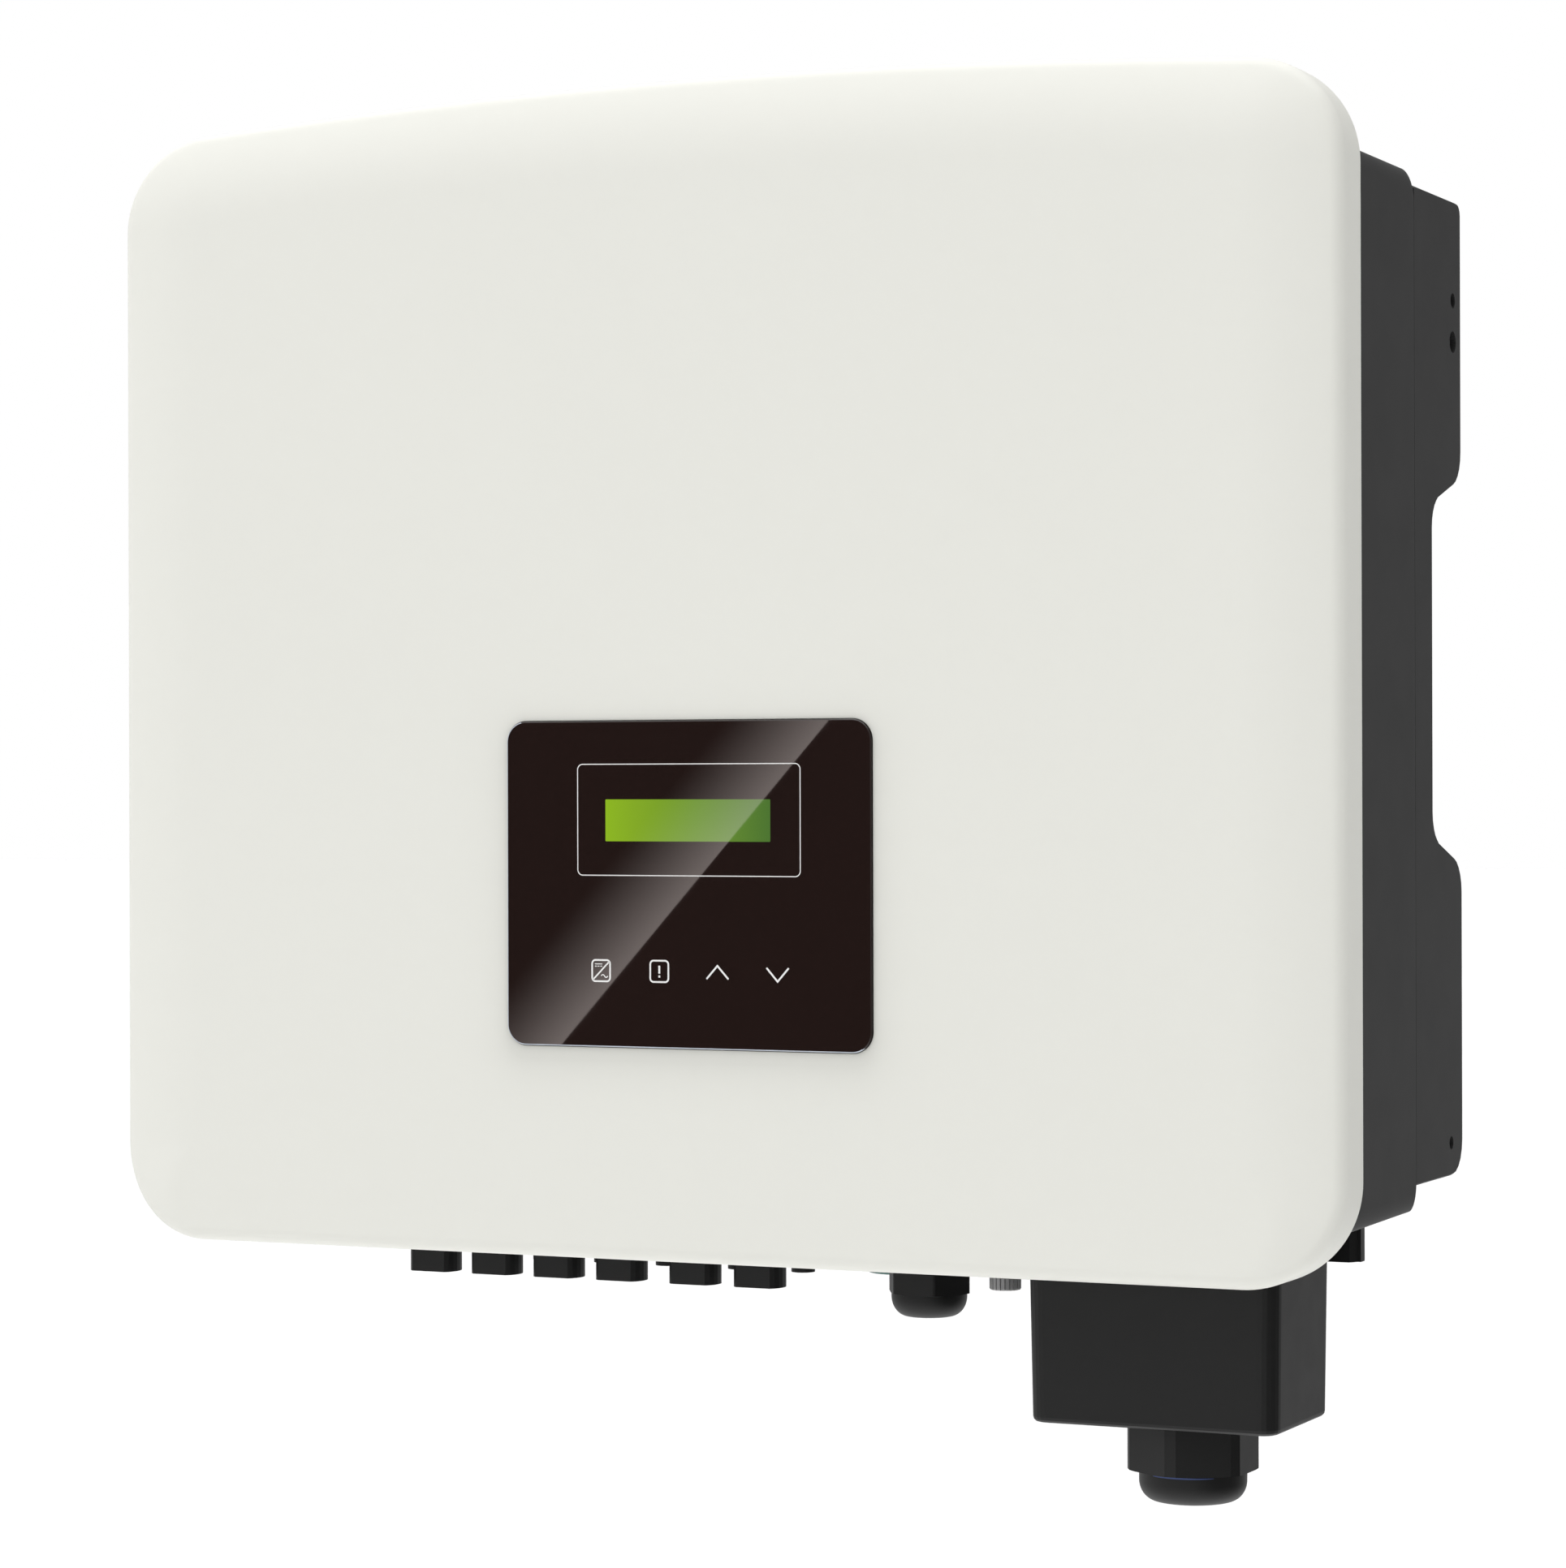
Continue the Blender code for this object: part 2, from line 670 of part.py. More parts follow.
# ---- cooling fans ----
def fan_frame(name, across, plastic):
    half = FAN_SIZE / 2
    bm = bmesh.new()
    low = (across - half, FAN_UP - half)
    high = (across + half, FAN_UP + half)
    lying(bm, rounded_rectangle(low, high, 0.004, 3), FAN_BACK, FAN_BACK + FAN_DEPTH)
    frame = add_object(name, bm, plastic)
    bore = bmesh.new()
    lying(bore, circle((across, FAN_UP), 0.0375, 36), FAN_BACK - 0.002, FAN_BACK + FAN_DEPTH + 0.002)
    for dx in (-0.0357, 0.0357):
        for dz in (-0.0357, 0.0357):
            place = (across + dx, FAN_UP + dz)
            lying(bore, circle(place, 0.0021, 10), FAN_BACK - 0.002, FAN_BACK + FAN_DEPTH + 0.002)
    cut(frame, bore, "bore")
    back = FAN_BACK + FAN_DEPTH
    spider = bmesh.new()
    lying(spider, circle((across, FAN_UP), 0.0140, 24), back - 0.0024, back - 0.0004)
    hub = tool(name + "_spider", spider)
    for index, turn in enumerate((45, 135, 225, 315)):
        strut = bmesh.new()
        direction = Vector((math.cos(math.radians(turn)), math.sin(math.radians(turn))))
        wide = Vector((-direction.y, direction.x)) * 0.0016
        start = Vector((across, FAN_UP)) + direction * 0.012
        end = Vector((across, FAN_UP)) + direction * 0.0385
        outline = [tuple(start - wide), tuple(end - wide), tuple(end + wide), tuple(start + wide)]
        lying(strut, outline, back - 0.0022, back - 0.0006)
        join(hub, strut, "strut_%d" % index)
    combine(frame, hub, "UNION")


def fan_rotor(name, across, plastic):
    bm = bmesh.new()
    stations = [(0.0118, 0.0012), (0.0132, 0.0022), (0.0132, 0.0205)]
    place = (across, FAN_UP)
    loft(bm, [[at(x, FAN_BACK + back, z) for x, z in circle(place, radius, 24)] for radius, back in stations])
    rotor = add_object(name, bm, plastic)
    blades = bmesh.new()
    count = 7
    for index in range(count):
        turn = 2 * math.pi * index / count
        rings = []
        for radius in (0.0125, 0.0240, 0.0355):
            sweep = turn + 0.35 * (radius - 0.0125) / 0.023
            pitch = math.radians(42 - 700 * (radius - 0.0125))
            chord = 0.0085 * math.cos(pitch)
            rise = 0.0085 * math.sin(pitch)
            ring = []
            for along, thick in ((-1, -1), (1, -1), (1, 1), (-1, 1)):
                shift = along * chord - thick * 0.0006 * math.sin(pitch)
                depth = FAN_BACK + 0.0115 + along * rise + thick * 0.0006 * math.cos(pitch)
                angle = sweep + shift / radius
                x = across + radius * math.cos(angle)
                z = FAN_UP + radius * math.sin(angle)
                ring.append(at(x, depth, z))
            rings.append(ring)
        loft(blades, rings)
    join(rotor, blades, "blades")
    move_origin(rotor, at(across, FAN_BACK + FAN_DEPTH / 2, FAN_UP))


# ---- connectors and glands under the body ----
def flatted_circle(middle, radius, flat):
    """Circle with its front and back cut straight at a distance from the middle."""
    points = []
    for x, y in circle(middle, radius, 28, math.pi / 28):
        points.append((x, max(middle[1] - flat, min(middle[1] + flat, y))))
    return points


def string_connector(name, back, foot, tube, plastic):
    """Panel connector for one solar string; tube is the inner tube's (radius, bore) or None."""
    across = STRING_COLUMNS[0]
    middle = (across, back)
    top = BODY_LOW - GAP
    bm = bmesh.new()
    stem = [(0.0, 0.0320), (0.0060, 0.0320), (0.0060, top), (NECK_RADIUS, top), (NECK_RADIUS, -0.0060)]
    turned(bm, middle, stem + [(0.0, -0.0060)], 20)
    body = add_object(name, bm, plastic)
    sleeve_foot = foot if tube is None else foot + 0.0028
    sleeve = bmesh.new()
    upright(sleeve, flatted_circle(middle, SLEEVE_RADIUS, 0.0064), sleeve_foot, -0.0058)
    join(body, sleeve, "sleeve")
    cavity = bmesh.new()
    if tube is None:
        profile = [(0.0, 0.0080), (0.0052, 0.0080), (0.0052, foot - 0.002), (0.0, foot - 0.002)]
        turned(cavity, middle, profile, 20)
        cut(body, cavity, "cavity")
        pin = bmesh.new()
        turned(pin, middle, [(0.0, 0.0100), (0.0012, 0.0100), (0.0012, -0.0010), (0.0, -0.0016)], 8)
        join(body, pin, "pin")
    else:
        radius, bore = tube
        profile = [(radius, -0.0050), (radius, foot), (bore, foot), (bore, -0.0050)]
        post = bmesh.new()
        turned(post, middle, profile, 20)
        join(body, post, "tube")
        turned(cavity, middle, [(0.0, 0.0040), (bore, 0.0040), (bore, foot - 0.002), (0.0, foot - 0.002)], 20)
        cut(body, cavity, "cavity")
    return body


def connector_row(prefix, back, foot, tube, plastic):
    first = string_connector(prefix + "_1", back, foot, tube, plastic)
    others = []
    for index, across in enumerate(STRING_COLUMNS[1:], 2):
        others.append(("%s_%d" % (prefix, index), Vector((across - STRING_COLUMNS[0], 0.0, 0.0))))
    copies(first, others)


def hexagon(middle, across_flats, corner_angle, chamfer):
    """Hexagon with a corner at corner_angle and its corners planed off by chamfer."""
    radius = across_flats / math.sqrt(3)
    points = []
    corners = [Vector(circle((0, 0), radius, 6, corner_angle)[index]) for index in range(6)]
    for index, corner in enumerate(corners):
        for neighbour in (corners[index - 1], corners[(index + 1) % 6]):
            step = corner + (neighbour - corner).normalized() * chamfer
            points.append((middle[0] + step.x, middle[1] + step.y))
    return points


def gland_nut(name, middle, size, plastic):
    """Hexagonal dome nut: size holds its flats, heights, dome and bore."""
    bm = bmesh.new()
    upright(bm, hexagon(middle, size["flats"], size["corner_angle"], size["chamfer"]), size["hex_foot"], size["top"])
    nut = add_object(name, bm, plastic, 30)
    corner = size["flats"] / math.sqrt(3)
    bevel = bmesh.new()
    profile = [(0.0, size["top"] + 0.002), (corner + 0.002, size["top"] + 0.002)]
    profile += [(corner + 0.002, size["hex_foot"] + 0.0030), (size["flats"] / 2 - 0.0003, size["hex_foot"] - 0.0002)]
    turned(bevel, middle, profile + [(0.0, size["hex_foot"] - 0.0002)], 36)
    keep_inside(nut, bevel, "chamfer")
    dome = bmesh.new()
    radius = size["dome"]
    height = size["shoulder"] - size["foot"]
    profile = [(0.0, size["hex_foot"] + 0.002), (radius, size["hex_foot"] + 0.002), (radius, size["shoulder"])]
    for step in range(1, 7):
        turn = math.pi / 2 * step / 6
        inner = size["face"]
        profile.append((inner + (radius - inner) * math.cos(turn), size["shoulder"] - height * math.sin(turn)))
    turned(dome, middle, profile + [(0.0, size["foot"])], 36)
    join(nut, dome, "dome")
    cavity = bmesh.new()
    profile = [(0.0, size["top"] + 0.003), (size["thread"], size["top"] + 0.003), (size["thread"], size["throat"])]
    profile += [(size["bore"], size["foot"] + 0.0015), (size["bore"], size["foot"] - 0.003), (0.0, size["foot"] - 0.003)]
    turned(cavity, middle, profile, 30)
    cut(nut, cavity, "cavity")
    move_origin(nut, at(*middle, size["top"]))


def tube_piece(name, middle, profile, finish, steps=30):
    bm = bmesh.new()
    turned(bm, middle, profile, steps)
    return add_object(name, bm, finish, 30)


def ac_gland(plastic, rubber):
    foot = AC_BOX_FLOOR - GAP
    body = [(0.0126, -0.0470), (0.0160, -0.0470), (0.0160, foot), (0.0190, foot), (0.0190, foot - 0.0013)]
    body += [(0.0160, foot - 0.0013), (0.0160, -0.0655), (0.0126, -0.0655)]
    tube_piece("ac_gland_body", AC_GLAND, body, plastic)
    seal = [(0.0095, -0.0570), (0.0122, -0.0570), (0.0122, -0.0695), (0.0108, -0.0720), (0.0095, -0.0720)]
    tube_piece("ac_gland_seal", AC_GLAND, seal, rubber)
    size = {
        "flats": 0.0419,
        "corner_angle": math.radians(29.2),
        "chamfer": 0.0024,
        "top": foot - 0.0016,
        "hex_foot": -0.0708,
        "dome": 0.0193,
        "shoulder": -0.0745,
        "foot": -0.0817,
        "face": 0.0128,
        "thread": 0.0164,
        "throat": -0.0665,
        "bore": 0.0110,
    }
    gland_nut("ac_gland_nut", AC_GLAND, size, plastic)


def com_gland(plastic, rubber):
    bm = bmesh.new()
    upright(bm, hexagon(COM_GLAND, 0.0270, COM_HEX_ANGLE, 0.0008), 0.0010, BODY_LOW - GAP)
    body = add_object("com_gland_body", bm, plastic, 30)
    stem = bmesh.new()
    turned(stem, COM_GLAND, [(0.0, 0.0280), (0.0098, 0.0280), (0.0098, -0.0090), (0.0, -0.0090)], 28)
    join(body, stem, "stem")
    bore = bmesh.new()
    turned(bore, COM_GLAND, [(0.0, 0.0300), (0.0078, 0.0300), (0.0078, -0.0110), (0.0, -0.0110)], 28)
    cut(body, bore, "bore")
    seal = [(0.0046, -0.0020), (0.0075, -0.0020), (0.0075, -0.0120), (0.0064, -0.0140), (0.0046, -0.0140)]
    tube_piece("com_gland_seal", COM_GLAND, seal, rubber, 28)
    size = {
        "flats": 0.0281,
        "corner_angle": COM_HEX_ANGLE,
        "chamfer": 0.0004,
        "top": 0.0007,
        "hex_foot": -0.0149,
        "dome": 0.0138,
        "shoulder": -0.0168,
        "foot": -0.0235,
        "face": 0.0082,
        "thread": 0.0102,
        "throat": -0.0110,
        "bore": 0.0062,
    }
    gland_nut("com_gland_nut", COM_GLAND, size, plastic)


def vent_plug(plastic):
    """Breather plug with a ribbed rim."""
    ribs = 24
    outline = []
    for index in range(ribs):
        for part, radius in ((0.15, 0.00565), (0.55, 0.00565), (0.70, 0.00525), (1.0, 0.00525)):
            turn = 2 * math.pi * (index + part) / ribs
            outline.append((VENT[0] + radius * math.cos(turn), VENT[1] + radius * math.sin(turn)))
    bm = bmesh.new()
    upright(bm, outline, -0.0120, BODY_LOW - GAP)
    plug = add_object("vent_plug", bm, plastic, 20)
    stem = bmesh.new()
    turned(stem, VENT, [(0.0, 0.0270), (0.0050, 0.0270), (0.0050, -0.0126), (0.0, -0.0126)], 24)
    join(plug, stem, "stem")


def dongle_port(plastic):
    """Round port with a flat socket for the plug-in monitoring stick."""
    collar = [(0.0, 0.0270), (0.0080, 0.0270), (0.0080, BODY_LOW - GAP), (0.0130, BODY_LOW - GAP)]
    collar += [(0.0130, -0.0105), (0.0122, -0.0113), (0.0, -0.0113)]
    port = tube_piece("dongle_port", DONGLE, collar, plastic, 28)
    slot = bmesh.new()
    low = (DONGLE[0] - 0.0070, DONGLE[1] - 0.0040)
    high = (DONGLE[0] + 0.0070, DONGLE[1] + 0.0040)
    upright(slot, rounded_rectangle(low, high, 0.0008, 2), -0.0130, 0.0020)
    cut(port, slot, "slot")


# ---- the isolator ----
def isolator(plastic, knob_plastic):
    bm = bmesh.new()
    box(bm, (KNOB[0] - 0.017, 0.0895, BODY_LOW + BODY_WALL + GAP), (KNOB[0] + 0.017, 0.1170, 0.0580))
    switch = add_object("isolator_switch", bm, plastic)
    shaft = bmesh.new()
    turned(shaft, KNOB, [(0.0, 0.0300), (0.0040, 0.0300), (0.0040, 0.0045), (0.0, 0.0045)], 24)
    join(switch, shaft, "shaft")
    terminals = bmesh.new()
    for across in (-0.0105, -0.0035, 0.0035, 0.0105):
        x = KNOB[0] + across
        lying(terminals, circle((x, 0.0500), 0.0022, 12), 0.0880, 0.0920)
    cut(switch, terminals, "terminals")
    half = 0.0142
    waist = 0.00565
    tip = 0.00225
    end = half - 0.0012
    slope = end - 0.0020
    outline = [(half, -tip), (half, tip), (end, tip), (slope, waist), (-slope, waist), (-end, tip)]
    outline += [(-half, tip), (-half, -tip), (-end, -tip), (-slope, -waist), (slope, -waist), (end, -tip)]
    handle = bmesh.new()
    upright(handle, [(KNOB[0] + x, KNOB[1] + y) for x, y in outline], -0.0005, BODY_LOW - 0.0006)
    knob = add_object("isolator_knob", handle, knob_plastic, 25)
    socket = bmesh.new()
    turned(socket, KNOB, [(0.0, 0.0200), (0.0044, 0.0200), (0.0044, 0.0038), (0.0, 0.0038)], 24)
    cut(knob, socket, "socket")
    move_origin(knob, at(*KNOB, BODY_LOW))


# ---- the AC connection box ----
def ac_box_outline(part, inset, corner):
    low = (part["low"][0] + inset, part["low"][1] + inset)
    high = (part["high"][0] - inset, part["high"][1] - inset)
    return rounded_rectangle(low, high, corner, 6)


def ac_box(plastic):
    bm = bmesh.new()
    stations = [(AC_BOX_TOP, 0.0, AC_BOX_LID), (AC_BOX_FOOT, 0.0, AC_BOX_FLOOR + 0.0020)]
    for step in (1, 2, 3):
        turn = math.pi / 2 * step / 3
        inset = 0.0020 * (1 - math.cos(turn))
        stations.append((AC_BOX_FOOT, inset, AC_BOX_FLOOR + 0.0020 * (1 - math.sin(turn))))
    rings = []
    for part, inset, up in stations:
        rings.append([at(x, y, up) for x, y in ac_box_outline(part, inset, AC_BOX_CORNER - inset)])
    loft(bm, rings)
    shell = add_object("ac_box", bm, plastic)
    wall = AC_BOX_WALL
    hollow = bmesh.new()
    inner = [(AC_BOX_TOP, AC_BOX_LID + 0.003), (AC_BOX_FOOT, AC_BOX_FLOOR + wall)]
    loft(hollow, [[at(x, y, up) for x, y in ac_box_outline(part, wall, 0.0035)] for part, up in inner])
    cut(shell, hollow, "hollow")
    posts = bmesh.new()
    for place in AC_BOX_SCREWS:
        upright(posts, circle(place, 0.0052, 20), AC_BOX_FLOOR + 0.0022, AC_BOX_LID - 0.0004)
    join(shell, posts, "posts")
    holes = bmesh.new()
    for place in AC_BOX_SCREWS:
        lower = AC_BOX_FLOOR + 0.0045
        profile = [(0.0, AC_BOX_LID + 0.002), (0.0023, AC_BOX_LID + 0.002), (0.0023, lower), (0.0042, lower)]
        turned(holes, place, profile + [(0.0042, AC_BOX_FLOOR - 0.002), (0.0, AC_BOX_FLOOR - 0.002)], 16)
    upright(holes, circle(AC_GLAND, 0.0163, 30), AC_BOX_FLOOR - 0.002, AC_BOX_FLOOR + wall + 0.002)
    cut(shell, holes, "holes")


def ac_box_gasket(rubber):
    bm = bmesh.new()
    low, high = AC_BOX_LID + 0.0002, BODY_LOW - 0.0003
    upright(bm, ac_box_outline(AC_BOX_TOP, 0.0006, 0.0059), low, high)
    ring = add_object("ac_box_gasket", bm, rubber)
    inside = bmesh.new()
    upright(inside, ac_box_outline(AC_BOX_TOP, 0.0026, 0.0039), low - 0.001, high + 0.001)
    cut(ring, inside, "bore")


def ac_box_screws(steel):
    for index, place in enumerate(AC_BOX_SCREWS, 1):
        top = AC_BOX_FLOOR + 0.0042
        profile = [(0.0, 0.0230), (0.0020, 0.0230), (0.0020, top), (0.0038, top), (0.0038, top - 0.0024)]
        profile += [(0.0028, top - 0.0032), (0.0, top - 0.0032)]
        screw = tube_piece("ac_box_screw_%d" % index, place, profile, steel, 16)
        socket = bmesh.new()
        upright(socket, circle(place, 0.0015, 6), top - 0.0050, top - 0.0014)
        cut(screw, socket, "socket")


def ac_terminal_block(plastic):
    """Five-pole terminal block between the body and the AC box."""
    bm = bmesh.new()
    box(bm, (0.1360, 0.0500, -0.0100), (0.1890, 0.0780, BODY_LOW - GAP))
    block = add_object("ac_terminal_block", bm, plastic)
    wells = bmesh.new()
    for index in range(5):
        across = 0.1417 + index * 0.0104
        upright(wells, circle((across, 0.0600), 0.0019, 12), -0.0120, -0.0020)
        lying(wells, circle((across, 0.0060), 0.0026, 12), 0.0480, 0.0520)
    cut(block, wells, "wells")


# ---- electronics inside the housing ----
def power_board(laminate):
    bm = bmesh.new()
    lying(bm, rounded_rectangle((-0.205, 0.0700), (0.205, 0.3750), 0.004, 3), 0.0940, 0.0956)
    board = add_object("power_board", bm, laminate)
    holes = bmesh.new()
    for across in (-0.198, 0.0, 0.198):
        for up in (0.0770, 0.3680):
            lying(holes, circle((across, up), 0.0022, 12), 0.092, 0.098)
    cut(board, holes, "holes")


def control_board(laminate):
    bm = bmesh.new()
    lying(bm, rounded_rectangle((-0.120, 0.2800), (0.120, 0.3700), 0.003, 3), 0.0620, 0.0636)
    board = add_object("control_board", bm, laminate)
    holes = bmesh.new()
    for across in (-0.114, 0.114):
        for up in (0.2860, 0.3640):
            lying(holes, circle((across, up), 0.0018, 12), 0.060, 0.066)
    cut(board, holes, "holes")


def dc_link_capacitors(sleeve):
    for index, across in enumerate((-0.160, -0.118), 1):
        bm = bmesh.new()
        stations = [(0.0160, 0.0480), (0.0175, 0.0490), (0.0175, 0.0900), (0.0165, 0.0910), (0.0175, 0.0920)]
        stations.append((0.0175, 0.0937))
        place = (across, 0.1400)
        loft(bm, [[at(x, back, z) for x, z in circle(place, radius, 24)] for radius, back in stations])
        add_object("dc_link_capacitor_%d" % index, bm, sleeve)


def output_inductors(potting):
    for index, across in enumerate((-0.020, 0.045, 0.110), 1):
        bm = bmesh.new()
        low = (across - 0.0280, 0.1020)
        lying(bm, rounded_rectangle(low, (across + 0.0280, 0.1700), 0.006, 3), 0.0520, 0.0937)
        winding = add_object("output_inductor_%d" % index, bm, potting)
        window = bmesh.new()
        lying(window, circle((across, 0.1360), 0.0120, 20), 0.0500, 0.0545)
        cut(winding, window, "core")


def boost_inductor_box(metal):
    bm = bmesh.new()
    lying(bm, rounded_rectangle((-0.190, 0.2000), (-0.020, 0.2600), 0.004, 3), 0.0580, 0.0937)
    can = add_object("boost_inductor_box", bm, metal)
    rims = bmesh.new()
    for index in range(3):
        across = -0.160 + index * 0.055
        lying(rims, rounded_rectangle((across - 0.022, 0.2060), (across + 0.022, 0.2540), 0.003, 2), 0.056, 0.060)
    cut(can, rims, "wells")


def power_module(plastic):
    bm = bmesh.new()
    lying(bm, rounded_rectangle((-0.090, 0.2850), (0.090, 0.3400), 0.002, 2), 0.0962, 0.1170)
    module = add_object("power_module", bm, plastic)
    holes = bmesh.new()
    for across in (-0.084, 0.084):
        lying(holes, circle((across, 0.3125), 0.0027, 12), 0.095, 0.119)
    cut(module, holes, "holes")


def ac_relay(plastic):
    bm = bmesh.new()
    lying(bm, rounded_rectangle((0.0500, 0.2000), (0.1000, 0.2440), 0.002, 2), 0.0680, 0.0937)
    add_object("ac_relay", bm, plastic)


def main():
    clear_scene()
    white = material("white_powder_coat", (0.78, 0.79, 0.76), 0.45)
    dark = material("dark_powder_coat", (0.035, 0.035, 0.036), 0.50)
    black = material("black_plastic", (0.020, 0.020, 0.021), 0.45)
    gloss = material("display_gloss", (0.015, 0.010, 0.009), 0.08)
    green = material("green_plastic", (0.020, 0.100, 0.080), 0.40)
    grey = material("grey_plastic", (0.140, 0.140, 0.140), 0.50)
    rubber = material("seal_rubber", (0.018, 0.018, 0.018), 0.80)
    steel = material("bright_steel", (0.55, 0.55, 0.56), 0.35, 1.0)
    laminate = material("board_laminate", (0.020, 0.160, 0.070), 0.40)
    copper = material("winding_potting", (0.120, 0.060, 0.030), 0.60)

    front_cover(white)
    cover_gasket(rubber)
    cover_screws(steel)
    display_lens(gloss)
    lcd_module(steel)
    display_board(laminate)
    housing(dark)
    heat_sink(dark)
    cheek("left_cheek", -1, dark)
    cheek("right_cheek", 1, dark)
    wall_bracket(steel)
    hanger_bar(steel)
    lock_screw("left_lock_screw", -1, steel)
    lock_screw("right_lock_screw", 1, steel)
    for name, across in (("left", -FAN_ACROSS), ("right", FAN_ACROSS)):
        fan_frame(name + "_fan_frame", across, black)
        fan_rotor(name + "_fan_rotor", across, black)
    connector_row("front_string_connector", FRONT_ROW_BACK, -0.0138, None, black)
    connector_row("rear_string_connector", REAR_ROW_BACK, -0.0123, (0.0045, 0.0034), black)
    ac_gland(black, rubber)
    com_gland(black, rubber)
    vent_plug(grey)
    dongle_port(green)
    isolator(black, black)
    ac_box(black)
    ac_box_gasket(rubber)
    ac_box_screws(steel)
    ac_terminal_block(green)
    power_board(laminate)
    control_board(laminate)
    dc_link_capacitors(black)
    output_inductors(copper)
    boost_inductor_box(grey)
    power_module(black)
    ac_relay(black)


main()
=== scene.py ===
"""Looks of the wall-hung string inverter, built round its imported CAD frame.

Places are given as in the CAD: across from the middle, back from the cover's flat face and up from the
cover's bottom edge, in metres. at() turns such a place into the frame's own coordinates.
"""

import json
import math

import bmesh
import bpy
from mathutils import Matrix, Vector


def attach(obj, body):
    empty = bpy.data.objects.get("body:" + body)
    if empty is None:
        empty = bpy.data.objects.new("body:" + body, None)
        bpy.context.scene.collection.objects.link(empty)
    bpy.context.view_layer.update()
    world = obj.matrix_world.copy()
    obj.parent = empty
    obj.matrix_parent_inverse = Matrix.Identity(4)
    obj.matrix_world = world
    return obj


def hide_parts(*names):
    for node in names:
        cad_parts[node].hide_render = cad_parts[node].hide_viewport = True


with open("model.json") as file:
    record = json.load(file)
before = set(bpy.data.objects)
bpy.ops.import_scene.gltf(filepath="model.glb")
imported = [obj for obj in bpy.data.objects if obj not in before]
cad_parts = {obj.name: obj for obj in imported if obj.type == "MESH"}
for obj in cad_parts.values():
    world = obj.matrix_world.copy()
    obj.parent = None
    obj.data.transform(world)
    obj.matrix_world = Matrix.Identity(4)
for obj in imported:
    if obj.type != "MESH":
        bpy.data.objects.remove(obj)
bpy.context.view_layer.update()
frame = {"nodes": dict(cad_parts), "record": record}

WALL_BACK = 0.182
BRACKET_UP = 0.341
BODY = "inverter"


# ---- frame and mesh helpers ----
def at(across, back, up):
    """A place given as in the CAD, in the frame's coordinates."""
    return Vector((across, back - WALL_BACK, up - BRACKET_UP))


def new_object(name, bm, finishes, soft_angle=32.0):
    """A named object from a bmesh, smooth except over edges sharper than soft_angle."""
    bmesh.ops.recalc_face_normals(bm, faces=bm.faces)
    mesh = bpy.data.meshes.new(name)
    bm.to_mesh(mesh)
    bm.free()
    for finish in finishes:
        mesh.materials.append(finish)
    mesh.shade_smooth()
    mesh.set_sharp_from_angle(angle=math.radians(soft_angle))
    made = bpy.data.objects.new(name, mesh)
    bpy.context.scene.collection.objects.link(made)
    return made


def settle(target):
    """Bakes an object's modifiers into its mesh."""
    bpy.context.view_layer.update()
    graph = bpy.context.evaluated_depsgraph_get()
    old = target.data
    target.data = bpy.data.meshes.new_from_object(target.evaluated_get(graph))
    target.data.name = target.name
    target.modifiers.clear()
    bpy.data.meshes.remove(old)


def combine(target, bm, operation):
    """Adds to, cuts from or keeps part of a solid."""
    bmesh.ops.recalc_face_normals(bm, faces=bm.faces)
    mesh = bpy.data.meshes.new("operand")
    bm.to_mesh(mesh)
    bm.free()
    operand = bpy.data.objects.new("operand", mesh)
    bpy.context.scene.collection.objects.link(operand)
    step = target.modifiers.new("step", "BOOLEAN")
    step.operation = operation
    step.solver = "EXACT"
    step.object = operand
    settle(target)
    bpy.data.objects.remove(operand, do_unlink=True)
    bpy.data.meshes.remove(mesh)


def soften(target, angle):
    """Smooth shading after Boolean work, with edges over the angle kept crisp."""
    target.data.shade_smooth()
    target.data.set_sharp_from_angle(angle=math.radians(angle))


def rounded_rectangle(low, high, radius, steps=8):
    """Corner points from the lower right corner round, anticlockwise, with steps to each quarter turn."""
    points = []
    centres = (
        (high[0] - radius, low[1] + radius, -90),
        (high[0] - radius, high[1] - radius, 0),
        (low[0] + radius, high[1] - radius, 90),
        (low[0] + radius, low[1] + radius, 180),
    )
    for across, up, start in centres:
        for step in range(steps + 1):
            turn = math.radians(start + 90 * step / steps)
            points.append((across + radius * math.cos(turn), up + radius * math.sin(turn)))
    return points


def circle(middle, radius, steps=48, start=0.0):
    points = []
    for step in range(steps):
        turn = start + 2 * math.pi * step / steps
        points.append((middle[0] + radius * math.cos(turn), middle[1] + radius * math.sin(turn)))
    return points


def skin(bm, near, far):
    """Faces between two loops of equal count."""
    for index, corner in enumerate(near):
        bm.faces.new((near[index - 1], corner, far[index], far[index - 1]))


def loft(bm, rings):
    """Closed solid through rings of equal count, flat at both ends."""
    loops = [[bm.verts.new(point) for point in ring] for ring in rings]
    for near, far in zip(loops, loops[1:]):
        skin(bm, near, far)
    bm.faces.new(loops[0])
    bm.faces.new(loops[-1])


def upright(bm, outline, low, high):
    """Prism standing on an outline of (across, back)."""
    loft(bm, [[at(x, y, up) for x, y in outline] for up in (low, high)])


def lying(bm, outline, near, far):
    """Prism running back from an outline of (across, up)."""
    loft(bm, [[at(x, back, z) for x, z in outline] for back in (near, far)])


